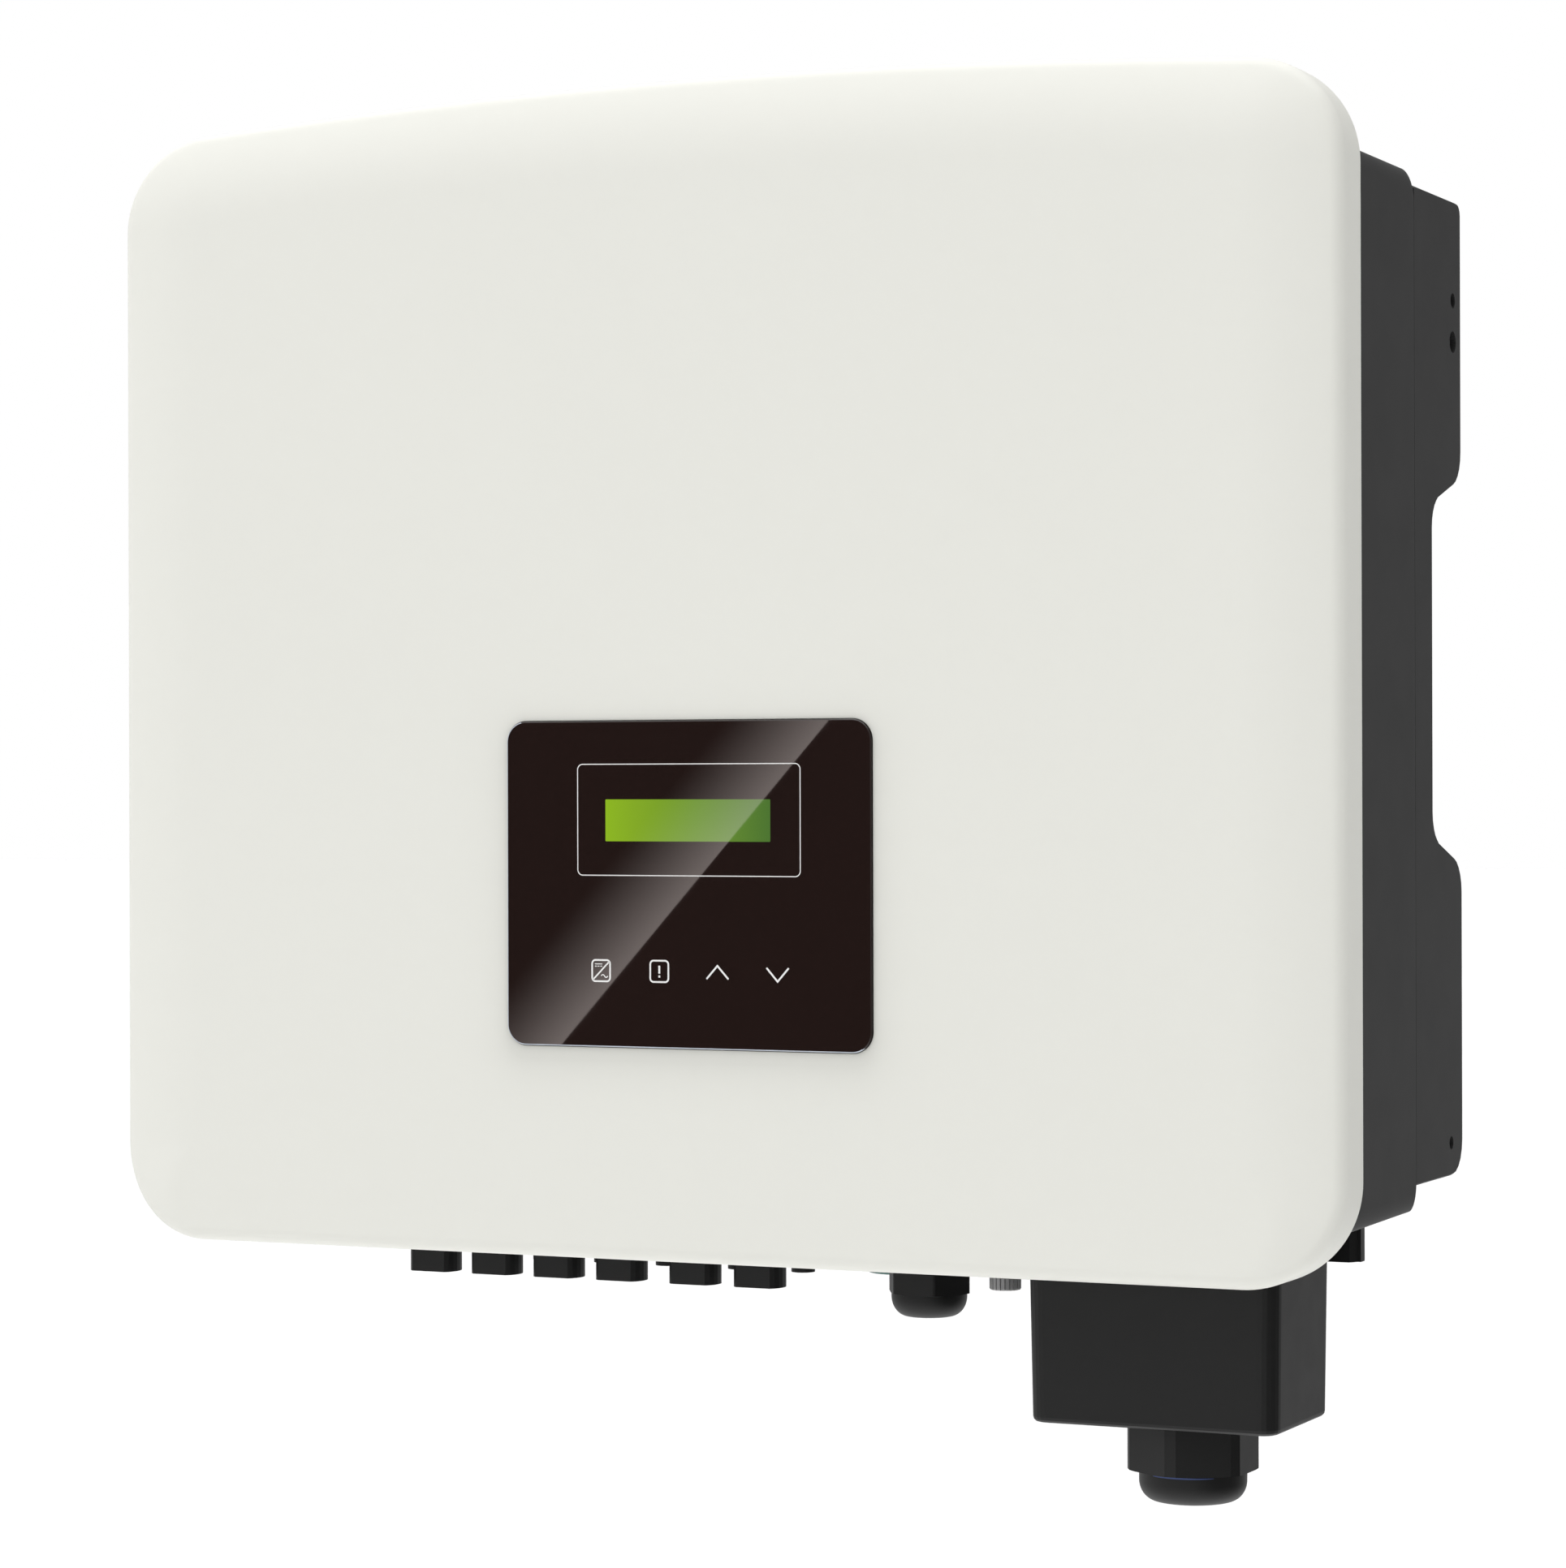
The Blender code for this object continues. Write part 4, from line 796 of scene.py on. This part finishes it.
# ---- the cast tub ----
TUB = {"half": 0.2306, "low": 0.0158, "high": 0.3900, "front": 0.0253, "back": 0.1215}
TUB_CORNERS = {"foot": (0.0022, 0.0070), "top": (0.0025, 0.0065)}
TUB_ROLL = {"foot_rise": 0.0034, "foot_depth": 0.0026, "top_drop": 0.0044, "top_depth": 0.0080}
TUB_DRAFT = {"start": 0.0300, "rise": 0.0011}
TUB_INSIDE = {"half": 0.2264, "low": 0.0214, "high": 0.3844, "front": 0.0300, "back": 0.1173}
TUB_MOUTH = {"half": 0.213, "low": 0.034, "high": 0.372, "corner": 0.018}
TUB_TURN_STEPS = 14
TUB_ROLL_STEPS = 10
EAR = {"half": 0.0075, "reach": 0.0065, "root": 0.008, "corner": 0.002, "back": 0.0303, "bore": 0.0024}
STRING_COLUMNS = (-0.1357, -0.1093, -0.0829, -0.0565, -0.0260, 0.0004)
STRING_ROWS = (0.058, 0.096)
STRING_BORE = 0.0063
AC_BOX_SCREWS = ((0.1275, 0.0420), (0.1960, 0.0820))
AC_BOX_SCREW_BORE = 0.0023
AC_CABLE_WAY = {"low": (0.145, 0.054), "high": (0.181, 0.070), "corner": 0.002}
DONGLE_PORT = {"middle": (0.0375, 0.103), "bore": 0.0083}
ISOLATOR_SHAFT = {"middle": (0.2002, 0.1093), "bore": 0.0045}
COM_GLAND_BORE = 0.0102
VENT_BORE = 0.0053


def tub_ring(foot_back, foot_rise, top_back, top_drop):
    """Outline across the tub, its corners tall ellipses, its foot and top at their own depths."""
    low = TUB["low"] + foot_rise
    high = TUB["high"] - top_drop
    foot, top = TUB_CORNERS["foot"], TUB_CORNERS["top"]
    half = TUB["half"]
    corners = (
        (half - foot[0], low + foot[1], -90, foot, foot_back),
        (half - top[0], high - top[1], 0, top, top_back),
        (top[0] - half, high - top[1], 90, top, top_back),
        (foot[0] - half, low + foot[1], 180, foot, foot_back),
    )
    ring = []
    for across, up, start, reach, back in corners:
        for step in range(TUB_TURN_STEPS + 1):
            turn = math.radians(start + 90 * step / TUB_TURN_STEPS)
            ring.append(at(across + reach[0] * math.cos(turn), back, up + reach[1] * math.sin(turn)))
    return ring


def tub_body():
    """Rings of the tub from its front edge over the drafted foot to the rolled rear edges."""
    rings = [tub_ring(back, 0.0, back, 0.0) for back in (TUB["front"], TUB_DRAFT["start"])]
    for step in range(TUB_ROLL_STEPS + 1):
        turn = math.pi / 2 * step / TUB_ROLL_STEPS
        left = 1 - math.sin(turn)
        share = 1 - math.cos(turn)
        foot_back = TUB["back"] - TUB_ROLL["foot_depth"] * left
        top_back = TUB["back"] - TUB_ROLL["top_depth"] * left
        rise = TUB_DRAFT["rise"] + TUB_ROLL["foot_rise"] * share
        rings.append(tub_ring(foot_back, rise, top_back, TUB_ROLL["top_drop"] * share))
    return rings


def tub_ears():
    """Lugs at the front edge that the cover's screws go through."""
    ears = bmesh.new()
    for across, up in COVER_SCREWS:
        above = up > TUB["high"]
        low = TUB["high"] - EAR["root"] if above else up - EAR["reach"]
        high = up + EAR["reach"] if above else TUB["low"] + EAR["root"]
        corners = (across - EAR["half"], low), (across + EAR["half"], high)
        outline = rounded_rectangle(*corners, EAR["corner"], 4)
        lying(ears, outline, TUB["front"] + 0.0002, EAR["back"])
    return ears


def tub_holes():
    """Bores through the foot for what is mounted there, and through the ears for the cover's screws."""
    holes = bmesh.new()
    bores = [((across, back), STRING_BORE) for across in STRING_COLUMNS for back in STRING_ROWS]
    bores += [(COM_NUT["middle"], COM_GLAND_BORE), (VENT["middle"], VENT_BORE)]
    bores += [(hole["middle"], hole["bore"]) for hole in (DONGLE_PORT, ISOLATOR_SHAFT)]
    bores += [(place, AC_BOX_SCREW_BORE) for place in AC_BOX_SCREWS]
    low = TUB["low"] - 4 * OVERCUT
    high = TUB_INSIDE["low"] + 3 * OVERCUT
    for middle, radius in bores:
        upright(holes, circle(middle, radius, 32), low, high)
    way = rounded_rectangle(AC_CABLE_WAY["low"], AC_CABLE_WAY["high"], AC_CABLE_WAY["corner"], 4)
    upright(holes, way, low, high)
    for place in COVER_SCREWS:
        lying(holes, circle(place, EAR["bore"], 20), 0.024, 0.032)
    return holes


def build_tub(paint):
    """The tub with rounded long edges, its ears for the cover's screws, its pocket and its openings."""
    bm = bmesh.new()
    loft(bm, tub_body())
    tub = new_object("cast_tub", bm, [paint])
    combine(tub, tub_ears(), "UNION")
    pocket = bmesh.new()
    low = (-TUB_INSIDE["half"], TUB_INSIDE["low"])
    high = (TUB_INSIDE["half"], TUB_INSIDE["high"])
    lying(pocket, rounded_rectangle(low, high, 0.004, 5), TUB_INSIDE["front"], TUB_INSIDE["back"])
    combine(tub, pocket, "DIFFERENCE")
    mouth = bmesh.new()
    low = (-TUB_MOUTH["half"], TUB_MOUTH["low"])
    high = (TUB_MOUTH["half"], TUB_MOUTH["high"])
    lying(mouth, rounded_rectangle(low, high, TUB_MOUTH["corner"], 8), 0.020, 0.031)
    combine(tub, mouth, "DIFFERENCE")
    combine(tub, tub_holes(), "DIFFERENCE")
    soften(tub, 24)
    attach(tub, BODY)
    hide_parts("housing")


# ---- details under and behind the body ----
def hexagon(middle, across_flats, corner_angle, chamfer):
    """Hexagon with a corner at corner_angle and its corners planed off by chamfer."""
    corners = [Vector(point) for point in circle((0, 0), across_flats / math.sqrt(3), 6, corner_angle)]
    points = []
    for index, corner in enumerate(corners):
        for neighbour in (corners[index - 1], corners[(index + 1) % 6]):
            step = corner + (neighbour - corner).normalized() * chamfer
            points.append((middle[0] + step.x, middle[1] + step.y))
    return points


AC_NUT = {
    "middle": (0.1669, 0.062), "flats": 0.0419, "corner_angle": math.radians(29.2),
    "chamfer": 0.0024, "broken": 0.0007, "top": -0.0541, "collar": 0.0193,
    "collar_up": -0.0554, "hex_foot": -0.0708, "dome": 0.0190, "shoulder": -0.0745,
    "foot": -0.0817, "face": 0.0128, "thread": 0.0164, "throat": -0.0665, "bore": 0.0110,
}
COM_NUT = {
    "middle": (0.0607, 0.075), "flats": 0.0279, "corner_angle": math.radians(-1.2),
    "chamfer": 0.0004, "broken": 0.0010, "top": 0.0007, "collar": 0.0102,
    "collar_up": -0.0010, "hex_foot": -0.0151, "dome": 0.01385, "shoulder": -0.0162,
    "foot": -0.0235, "face": 0.0078, "thread": 0.0102, "throat": -0.0110, "bore": 0.0062,
}
DOME_STEPS = 14


def build_gland_nut(name, size, plastic, body):
    """Dome nut as in the CAD, with a truly round dome and bore and a broken edge under the hexagon."""
    middle = size["middle"]
    top, hex_foot, foot = size["top"], size["hex_foot"], size["foot"]
    bm = bmesh.new()
    upright(bm, hexagon(middle, size["flats"], size["corner_angle"], size["chamfer"]), hex_foot, top)
    nut = new_object(name, bm, [plastic])
    reach = size["flats"] / math.sqrt(3) + 0.002
    bevel = bmesh.new()
    profile = [(0.0, top + 0.002), (reach, top + 0.002), (reach, hex_foot + size["broken"])]
    profile += [(size["flats"] / 2 - 0.0003, hex_foot - 0.0002), (0.0, hex_foot - 0.0002)]
    turned(bevel, middle, profile, 96)
    combine(nut, bevel, "INTERSECT")
    dome = bmesh.new()
    radius, shoulder, face = size["dome"], size["shoulder"], size["face"]
    profile = [(0.0, hex_foot + 0.002), (radius, hex_foot + 0.002), (radius, shoulder)]
    for step in range(1, DOME_STEPS + 1):
        turn = math.pi / 2 * step / DOME_STEPS
        drop = (shoulder - foot) * math.sin(turn)
        profile.append((face + (radius - face) * math.cos(turn), shoulder - drop))
    turned(dome, middle, profile + [(0.0, foot)], 96)
    combine(nut, dome, "UNION")
    cavity = bmesh.new()
    profile = [(0.0, top + 0.003), (size["collar"], top + 0.003), (size["collar"], size["collar_up"])]
    profile += [(size["thread"], size["collar_up"] - 0.0001), (size["thread"], size["throat"])]
    profile += [(size["bore"], foot + 0.0015), (size["bore"], foot - 0.003), (0.0, foot - 0.003)]
    turned(cavity, middle, profile, 96)
    combine(nut, cavity, "DIFFERENCE")
    soften(nut, 24)
    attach(nut, body)
    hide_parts(body)


BLUE_RING = {
    "start": -118.0, "sweep": 70.0, "steps": 40, "inner": 0.0184, "outer": 0.01905,
    "swell": 0.00025, "thin": 0.00005, "thick": 0.00022, "below": 0.0007,
}


def build_gland_ring(blue):
    """Blue sealing lip that shows for part of the way round in the seam under the AC nut's hexagon."""
    bm = bmesh.new()
    rings = []
    inner = BLUE_RING["inner"]
    middle_up = AC_NUT["hex_foot"] - BLUE_RING["below"]
    for step in range(BLUE_RING["steps"] + 1):
        part = step / BLUE_RING["steps"]
        turn = math.radians(BLUE_RING["start"] + BLUE_RING["sweep"] * part)
        lift = math.sin(math.pi * part) ** 0.5
        outer = BLUE_RING["outer"] + BLUE_RING["swell"] * lift
        half = BLUE_RING["thin"] + BLUE_RING["thick"] * lift
        ring = []
        for radius, up in ((inner, -half), (outer, -half), (outer, half), (inner, half)):
            across = AC_NUT["middle"][0] + radius * math.cos(turn)
            back = AC_NUT["middle"][1] + radius * math.sin(turn)
            ring.append(at(across, back, middle_up + up))
        rings.append(ring)
    loft(bm, rings)
    ring = new_object("ac_gland_ring", bm, [blue])
    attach(ring, "ac_gland_nut")


VENT = {
    "middle": (0.0906, 0.075), "ribs": 21, "reach": 0.00575, "groove": 0.0009,
    "top": 0.0169, "foot": -0.0126, "stem": 0.0050, "stem_foot": 0.0160, "stem_top": 0.0270,
}
RIB_PITCH = ((0.14, 0.0), (0.50, 0.0), (0.86, 0.0), (0.92, 1.0), (1.08, 1.0))
VENT_EDGE = ((0.0, 0.0006), (0.0002, 0.0002), (0.0007, 0.0))


def build_vent_plug(grey):
    """Breather plug: flat-topped ribs with narrow grooves between, a rounded foot and a plain stem."""
    outline = []
    for index in range(VENT["ribs"]):
        for part, depth in RIB_PITCH:
            turn = 2 * math.pi * (index + part) / VENT["ribs"]
            outline.append((turn, VENT["reach"] - depth * VENT["groove"]))
    levels = [(0.0, VENT["top"])] + [(shrink, VENT["foot"] + up) for shrink, up in VENT_EDGE]
    rings = []
    for shrink, up in levels:
        ring = []
        for turn, reach in outline:
            across = VENT["middle"][0] + (reach - shrink) * math.cos(turn)
            back = VENT["middle"][1] + (reach - shrink) * math.sin(turn)
            ring.append(at(across, back, up))
        rings.append(ring)
    bm = bmesh.new()
    loft(bm, rings)
    plug = new_object("ribbed_vent_plug", bm, [grey], 24)
    stem = bmesh.new()
    radius, top, foot = VENT["stem"], VENT["stem_top"], VENT["stem_foot"]
    turned(stem, VENT["middle"], [(0.0, top), (radius, top), (radius, foot), (0.0, foot)], 48)
    combine(plug, stem, "UNION")
    soften(plug, 24)
    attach(plug, BODY)
    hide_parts("vent_plug")


GUARD = {"up": 0.102, "back": 0.1668, "ring_wire": 0.0007, "spoke_wire": 0.0008, "step": 0.0012}
GUARD_RINGS = (0.010, 0.018, 0.026, 0.034)
GUARD_SPOKE = (0.0092, 0.022, 0.036, 0.046, 0.0505)
GUARD_FOOT = 0.04
GUARD_ACROSS = 0.050


def build_fan_guard(name, across, steel):
    """Wire guard over a fan: rings, four spokes and their feet."""
    bm = bmesh.new()
    for radius in GUARD_RINGS:
        path = [at(x, GUARD["back"], z) for x, z in circle((across, GUARD["up"]), radius, 56)]
        tube(bm, path, GUARD["ring_wire"], True)
    for quarter in range(4):
        turn = math.radians(45 + 90 * quarter)
        path = []
        for reach in GUARD_SPOKE:
            back = GUARD["back"] if reach > GUARD_FOOT else GUARD["back"] + GUARD["step"]
            path.append(at(across + reach * math.cos(turn), back, GUARD["up"] + reach * math.sin(turn)))
        tube(bm, path, GUARD["spoke_wire"], False)
    guard = new_object(name, bm, [steel], 60)
    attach(guard, BODY)


# ---- the studio ----
WORLD_BASE = 0.504
WORLD_LEAST = 0.03
WORLD_LOBES = (
    ((1.0, 0.0, 0.0), 8.0, 0.60),
    ((1.0, 0.0, 0.0), 2.0, -0.98),
    ((0.0, 1.0, 0.0), 2.0, -0.09),
    ((-1.0, 0.0, 0.0), 2.0, 0.15),
    ((0.0, -1.0, 0.0), 2.0, 0.09),
    ((0.0, 0.0, 1.0), 2.0, 0.22),
    ((0.0, 0.0, 1.0), 6.0, 3.0),
    ((0.0, 0.0, -1.0), 2.0, 1.5),
    ((0.42, 0.90, -0.40), 4.0, 0.22),
)


def world_light():
    """Soft studio all round, a sum of lobes (direction, power, amount), plain white to the camera."""
    world = bpy.data.worlds.new("studio")
    bpy.context.scene.world = world
    world.use_nodes = True
    tree = world.node_tree
    tree.nodes.clear()
    place = tree.nodes.new("ShaderNodeTexCoord")
    unit = tree.nodes.new("ShaderNodeVectorMath")
    unit.operation = "NORMALIZE"
    tree.links.new(place.outputs["Generated"], unit.inputs[0])
    total = WORLD_BASE
    for direction, power, amount in WORLD_LOBES:
        dot = tree.nodes.new("ShaderNodeVectorMath")
        dot.operation = "DOT_PRODUCT"
        dot.inputs[1].default_value = Vector(direction).normalized()
        tree.links.new(unit.outputs["Vector"], dot.inputs[0])
        facing = maths(tree, "MAXIMUM", dot.outputs["Value"], 0.0)
        lobe = maths(tree, "MULTIPLY", maths(tree, "POWER", facing, power), amount)
        total = maths(tree, "ADD", total, lobe)
    sky = tree.nodes.new("ShaderNodeBackground")
    tree.links.new(maths(tree, "MAXIMUM", total, WORLD_LEAST), sky.inputs["Strength"])
    plain = tree.nodes.new("ShaderNodeBackground")
    plain.inputs["Strength"].default_value = 1.0
    for background in (sky, plain):
        background.inputs["Color"].default_value = (1.0, 1.0, 1.0, 1.0)
    path = tree.nodes.new("ShaderNodeLightPath")
    mix = tree.nodes.new("ShaderNodeMixShader")
    out = tree.nodes.new("ShaderNodeOutputWorld")
    tree.links.new(path.outputs["Is Camera Ray"], mix.inputs["Fac"])
    tree.links.new(sky.outputs["Background"], mix.inputs[1])
    tree.links.new(plain.outputs["Background"], mix.inputs[2])
    tree.links.new(mix.outputs["Shader"], out.inputs["Surface"])


KEY_LIGHT = {"place": (-1.6, -2.6, 2.0), "side": 1.8, "watts": 14.8}


def key_light():
    """Large soft lamp high on the left, aimed at the frame's origin."""
    data = bpy.data.lights.new("key", "AREA")
    data.shape = "RECTANGLE"
    data.size = KEY_LIGHT["side"]
    data.size_y = KEY_LIGHT["side"]
    data.energy = KEY_LIGHT["watts"]
    lamp = bpy.data.objects.new("key", data)
    lamp.location = KEY_LIGHT["place"]
    lamp.rotation_euler = (-Vector(KEY_LIGHT["place"])).to_track_quat("-Z", "Y").to_euler()
    lamp.visible_camera = False
    bpy.context.scene.collection.objects.link(lamp)


FLOOR_UP = -1.05
FLOOR_HALF = 40.0


def build_floor():
    """Pale floor, clear from below so that it hides nothing from a low view."""
    bm = bmesh.new()
    bmesh.ops.create_grid(bm, x_segments=8, y_segments=8, size=FLOOR_HALF)
    bmesh.ops.translate(bm, verts=bm.verts, vec=(0.0, 0.0, FLOOR_UP))
    pale = Finish("pale_floor", (0.76, 0.76, 0.76), 0.9)
    pale.paint(pale.shade(0.6, 0.01))
    pale.shader.inputs["Emission Color"].default_value = (1.0, 1.0, 1.0, 1.0)
    pale.shader.inputs["Emission Strength"].default_value = 0.125
    out = pale.tree.nodes["Material Output"]
    clear = pale.node("ShaderNodeBsdfTransparent")
    side = pale.node("ShaderNodeNewGeometry")
    mix = pale.node("ShaderNodeMixShader")
    pale.link(side.outputs["Backfacing"], mix.inputs["Fac"])
    pale.link(pale.shader.outputs["BSDF"], mix.inputs[1])
    pale.link(clear.outputs["BSDF"], mix.inputs[2])
    pale.link(mix.outputs["Shader"], out.inputs["Surface"])
    floor = new_object("floor", bm, [pale.made])
    if floor.data.polygons[0].normal.z < 0:
        floor.data.flip_normals()
    floor.visible_glossy = False


CAMERA = {
    "place": (0.68549, -1.57778, -0.16891),
    "heading": 24.914,
    "roll": -0.157,
    "lens": 100.405,
    "shift": -0.002384,
}


def build_camera():
    """Level camera turned to the left by its heading, with a slight roll and a small vertical shift."""
    heading = math.radians(CAMERA["heading"])
    roll = math.radians(CAMERA["roll"])
    ahead = Vector((-math.sin(heading), math.cos(heading), 0.0))
    right = Vector((math.cos(heading), math.sin(heading), 0.0))
    up = Vector((0.0, 0.0, 1.0))
    across = right * math.cos(roll) + up * math.sin(roll)
    rise = up * math.cos(roll) - right * math.sin(roll)
    data = bpy.data.cameras.new("camera")
    data.lens = CAMERA["lens"]
    data.sensor_width = 36.0
    data.shift_y = CAMERA["shift"]
    data.clip_end = 200.0
    camera = bpy.data.objects.new("camera", data)
    matrix = camera.matrix_world.copy()
    for row in range(3):
        matrix[row][0] = across[row]
        matrix[row][1] = rise[row]
        matrix[row][2] = -ahead[row]
        matrix[row][3] = CAMERA["place"][row]
    camera.matrix_world = matrix
    bpy.context.scene.collection.objects.link(camera)
    bpy.context.scene.camera = camera


def lens_card(name, spots, card_y):
    """A flat card before the unit that the camera sees mirrored in the lens, at the given spots."""
    eye = Vector(CAMERA["place"])
    lens_y = at(0.0, LENS_FACE, 0.0).y
    mirrored = Vector((eye.x, 2 * lens_y - eye.y, eye.z))
    corners = []
    for across, up in spots:
        ray = at(across, LENS_FACE, up) - mirrored
        corners.append(mirrored + ray * ((card_y - mirrored.y) / ray.y))
    mesh = bpy.data.meshes.new(name)
    mesh.from_pydata([tuple(corner) for corner in corners], [], [(0, 1, 2, 3)])
    card = bpy.data.objects.new(name, mesh)
    bpy.context.scene.collection.objects.link(card)
    light = bpy.data.materials.new(name)
    light.use_nodes = True
    light.node_tree.nodes.clear()
    mesh.materials.append(light)
    card.visible_camera = False
    card.visible_diffuse = False
    card.visible_shadow = False
    card.visible_transmission = False
    return mesh, light.node_tree


SHEEN = {
    "spots": ((0.0662, 0.205), (-0.0617, 0.065), (-0.1040, 0.065), (0.0239, 0.205)),
    "fade": (1.0, 1.0, 0.0, 0.0),
    "card_y": -1.25,
    "power": 1.6,
    "strength": 3.15,
    "color": (1.0, 0.88, 0.84, 1.0),
}
FLAG = {"reach": 0.012, "card_y": -1.27, "strength": 0.012}


def build_sheen_card():
    """Slanted light card that makes the sheen on the lens, bright on one side and faded on the other."""
    mesh, tree = lens_card("gloss_card", SHEEN["spots"], SHEEN["card_y"])
    glow = mesh.attributes.new("glow", "FLOAT", "POINT")
    glow.data.foreach_set("value", SHEEN["fade"])
    source = tree.nodes.new("ShaderNodeAttribute")
    source.attribute_name = "glow"
    falloff = maths(tree, "POWER", source.outputs["Fac"], SHEEN["power"])
    emission = tree.nodes.new("ShaderNodeEmission")
    emission.inputs["Color"].default_value = SHEEN["color"]
    out = tree.nodes.new("ShaderNodeOutputMaterial")
    tree.links.new(maths(tree, "MULTIPLY", falloff, SHEEN["strength"]), emission.inputs["Strength"])
    tree.links.new(emission.outputs["Emission"], out.inputs["Surface"])


def build_flag_card():
    """Dark card behind the light one that keeps the rest of the lens deep."""
    reach = FLAG["reach"]
    low = (LENS["low"][0] - reach, LENS["low"][1] - reach)
    high = (LENS["high"][0] + reach, LENS["high"][1] + reach)
    spots = (low, (high[0], low[1]), high, (low[0], high[1]))
    tree = lens_card("gloss_flag", spots, FLAG["card_y"])[1]
    dark = tree.nodes.new("ShaderNodeEmission")
    dark.inputs["Strength"].default_value = FLAG["strength"]
    out = tree.nodes.new("ShaderNodeOutputMaterial")
    tree.links.new(dark.outputs["Emission"], out.inputs["Surface"])


def main():
    scene = bpy.context.scene
    scene.view_settings.view_transform = "Standard"
    finishes = {
        "white_powder_coat": white_powder_coat(),
        "dark_powder_coat": dark_powder_coat(),
        "dark_aluminium": dark_aluminium(),
        "black_plastic": black_plastic(),
        "display_gloss": display_gloss(),
        "green_plastic": colored_plastic("green_plastic", (0.010, 0.085, 0.070), 0.35),
        "grey_plastic": colored_plastic("grey_plastic", (0.36, 0.36, 0.36), 0.45),
        "seal_rubber": seal_rubber(),
        "bright_steel": bright_steel(),
        "board_laminate": board_laminate(),
        "winding_potting": winding_potting(),
    }
    slots = {part["node"]: part["material_slot"] for part in frame["record"]["subparts"]}
    for name, node in frame["nodes"].items():
        node.data.materials.clear()
        node.data.materials.append(finishes[slots[name]])
    build_camera()
    build_cover(cover_coat_painted_shadow())
    build_lens(finishes["display_gloss"], lens_edge_painted_highlight())
    build_lcd(lcd_glow())
    build_prints(print_white())
    build_gland_nut("ac_dome_nut", AC_NUT, finishes["black_plastic"], "ac_gland_nut")
    build_gland_nut("com_dome_nut", COM_NUT, finishes["black_plastic"], "com_gland_nut")
    build_gland_ring(colored_plastic("blue_plastic", (0.045, 0.075, 0.215), 0.4))
    build_vent_plug(finishes["grey_plastic"])
    build_tub(finishes["dark_powder_coat"])
    build_fan_guard("left_fan_guard", -GUARD_ACROSS, finishes["bright_steel"])
    build_fan_guard("right_fan_guard", GUARD_ACROSS, finishes["bright_steel"])
    build_floor()
    build_sheen_card()
    build_flag_card()
    world_light()
    key_light()


main()
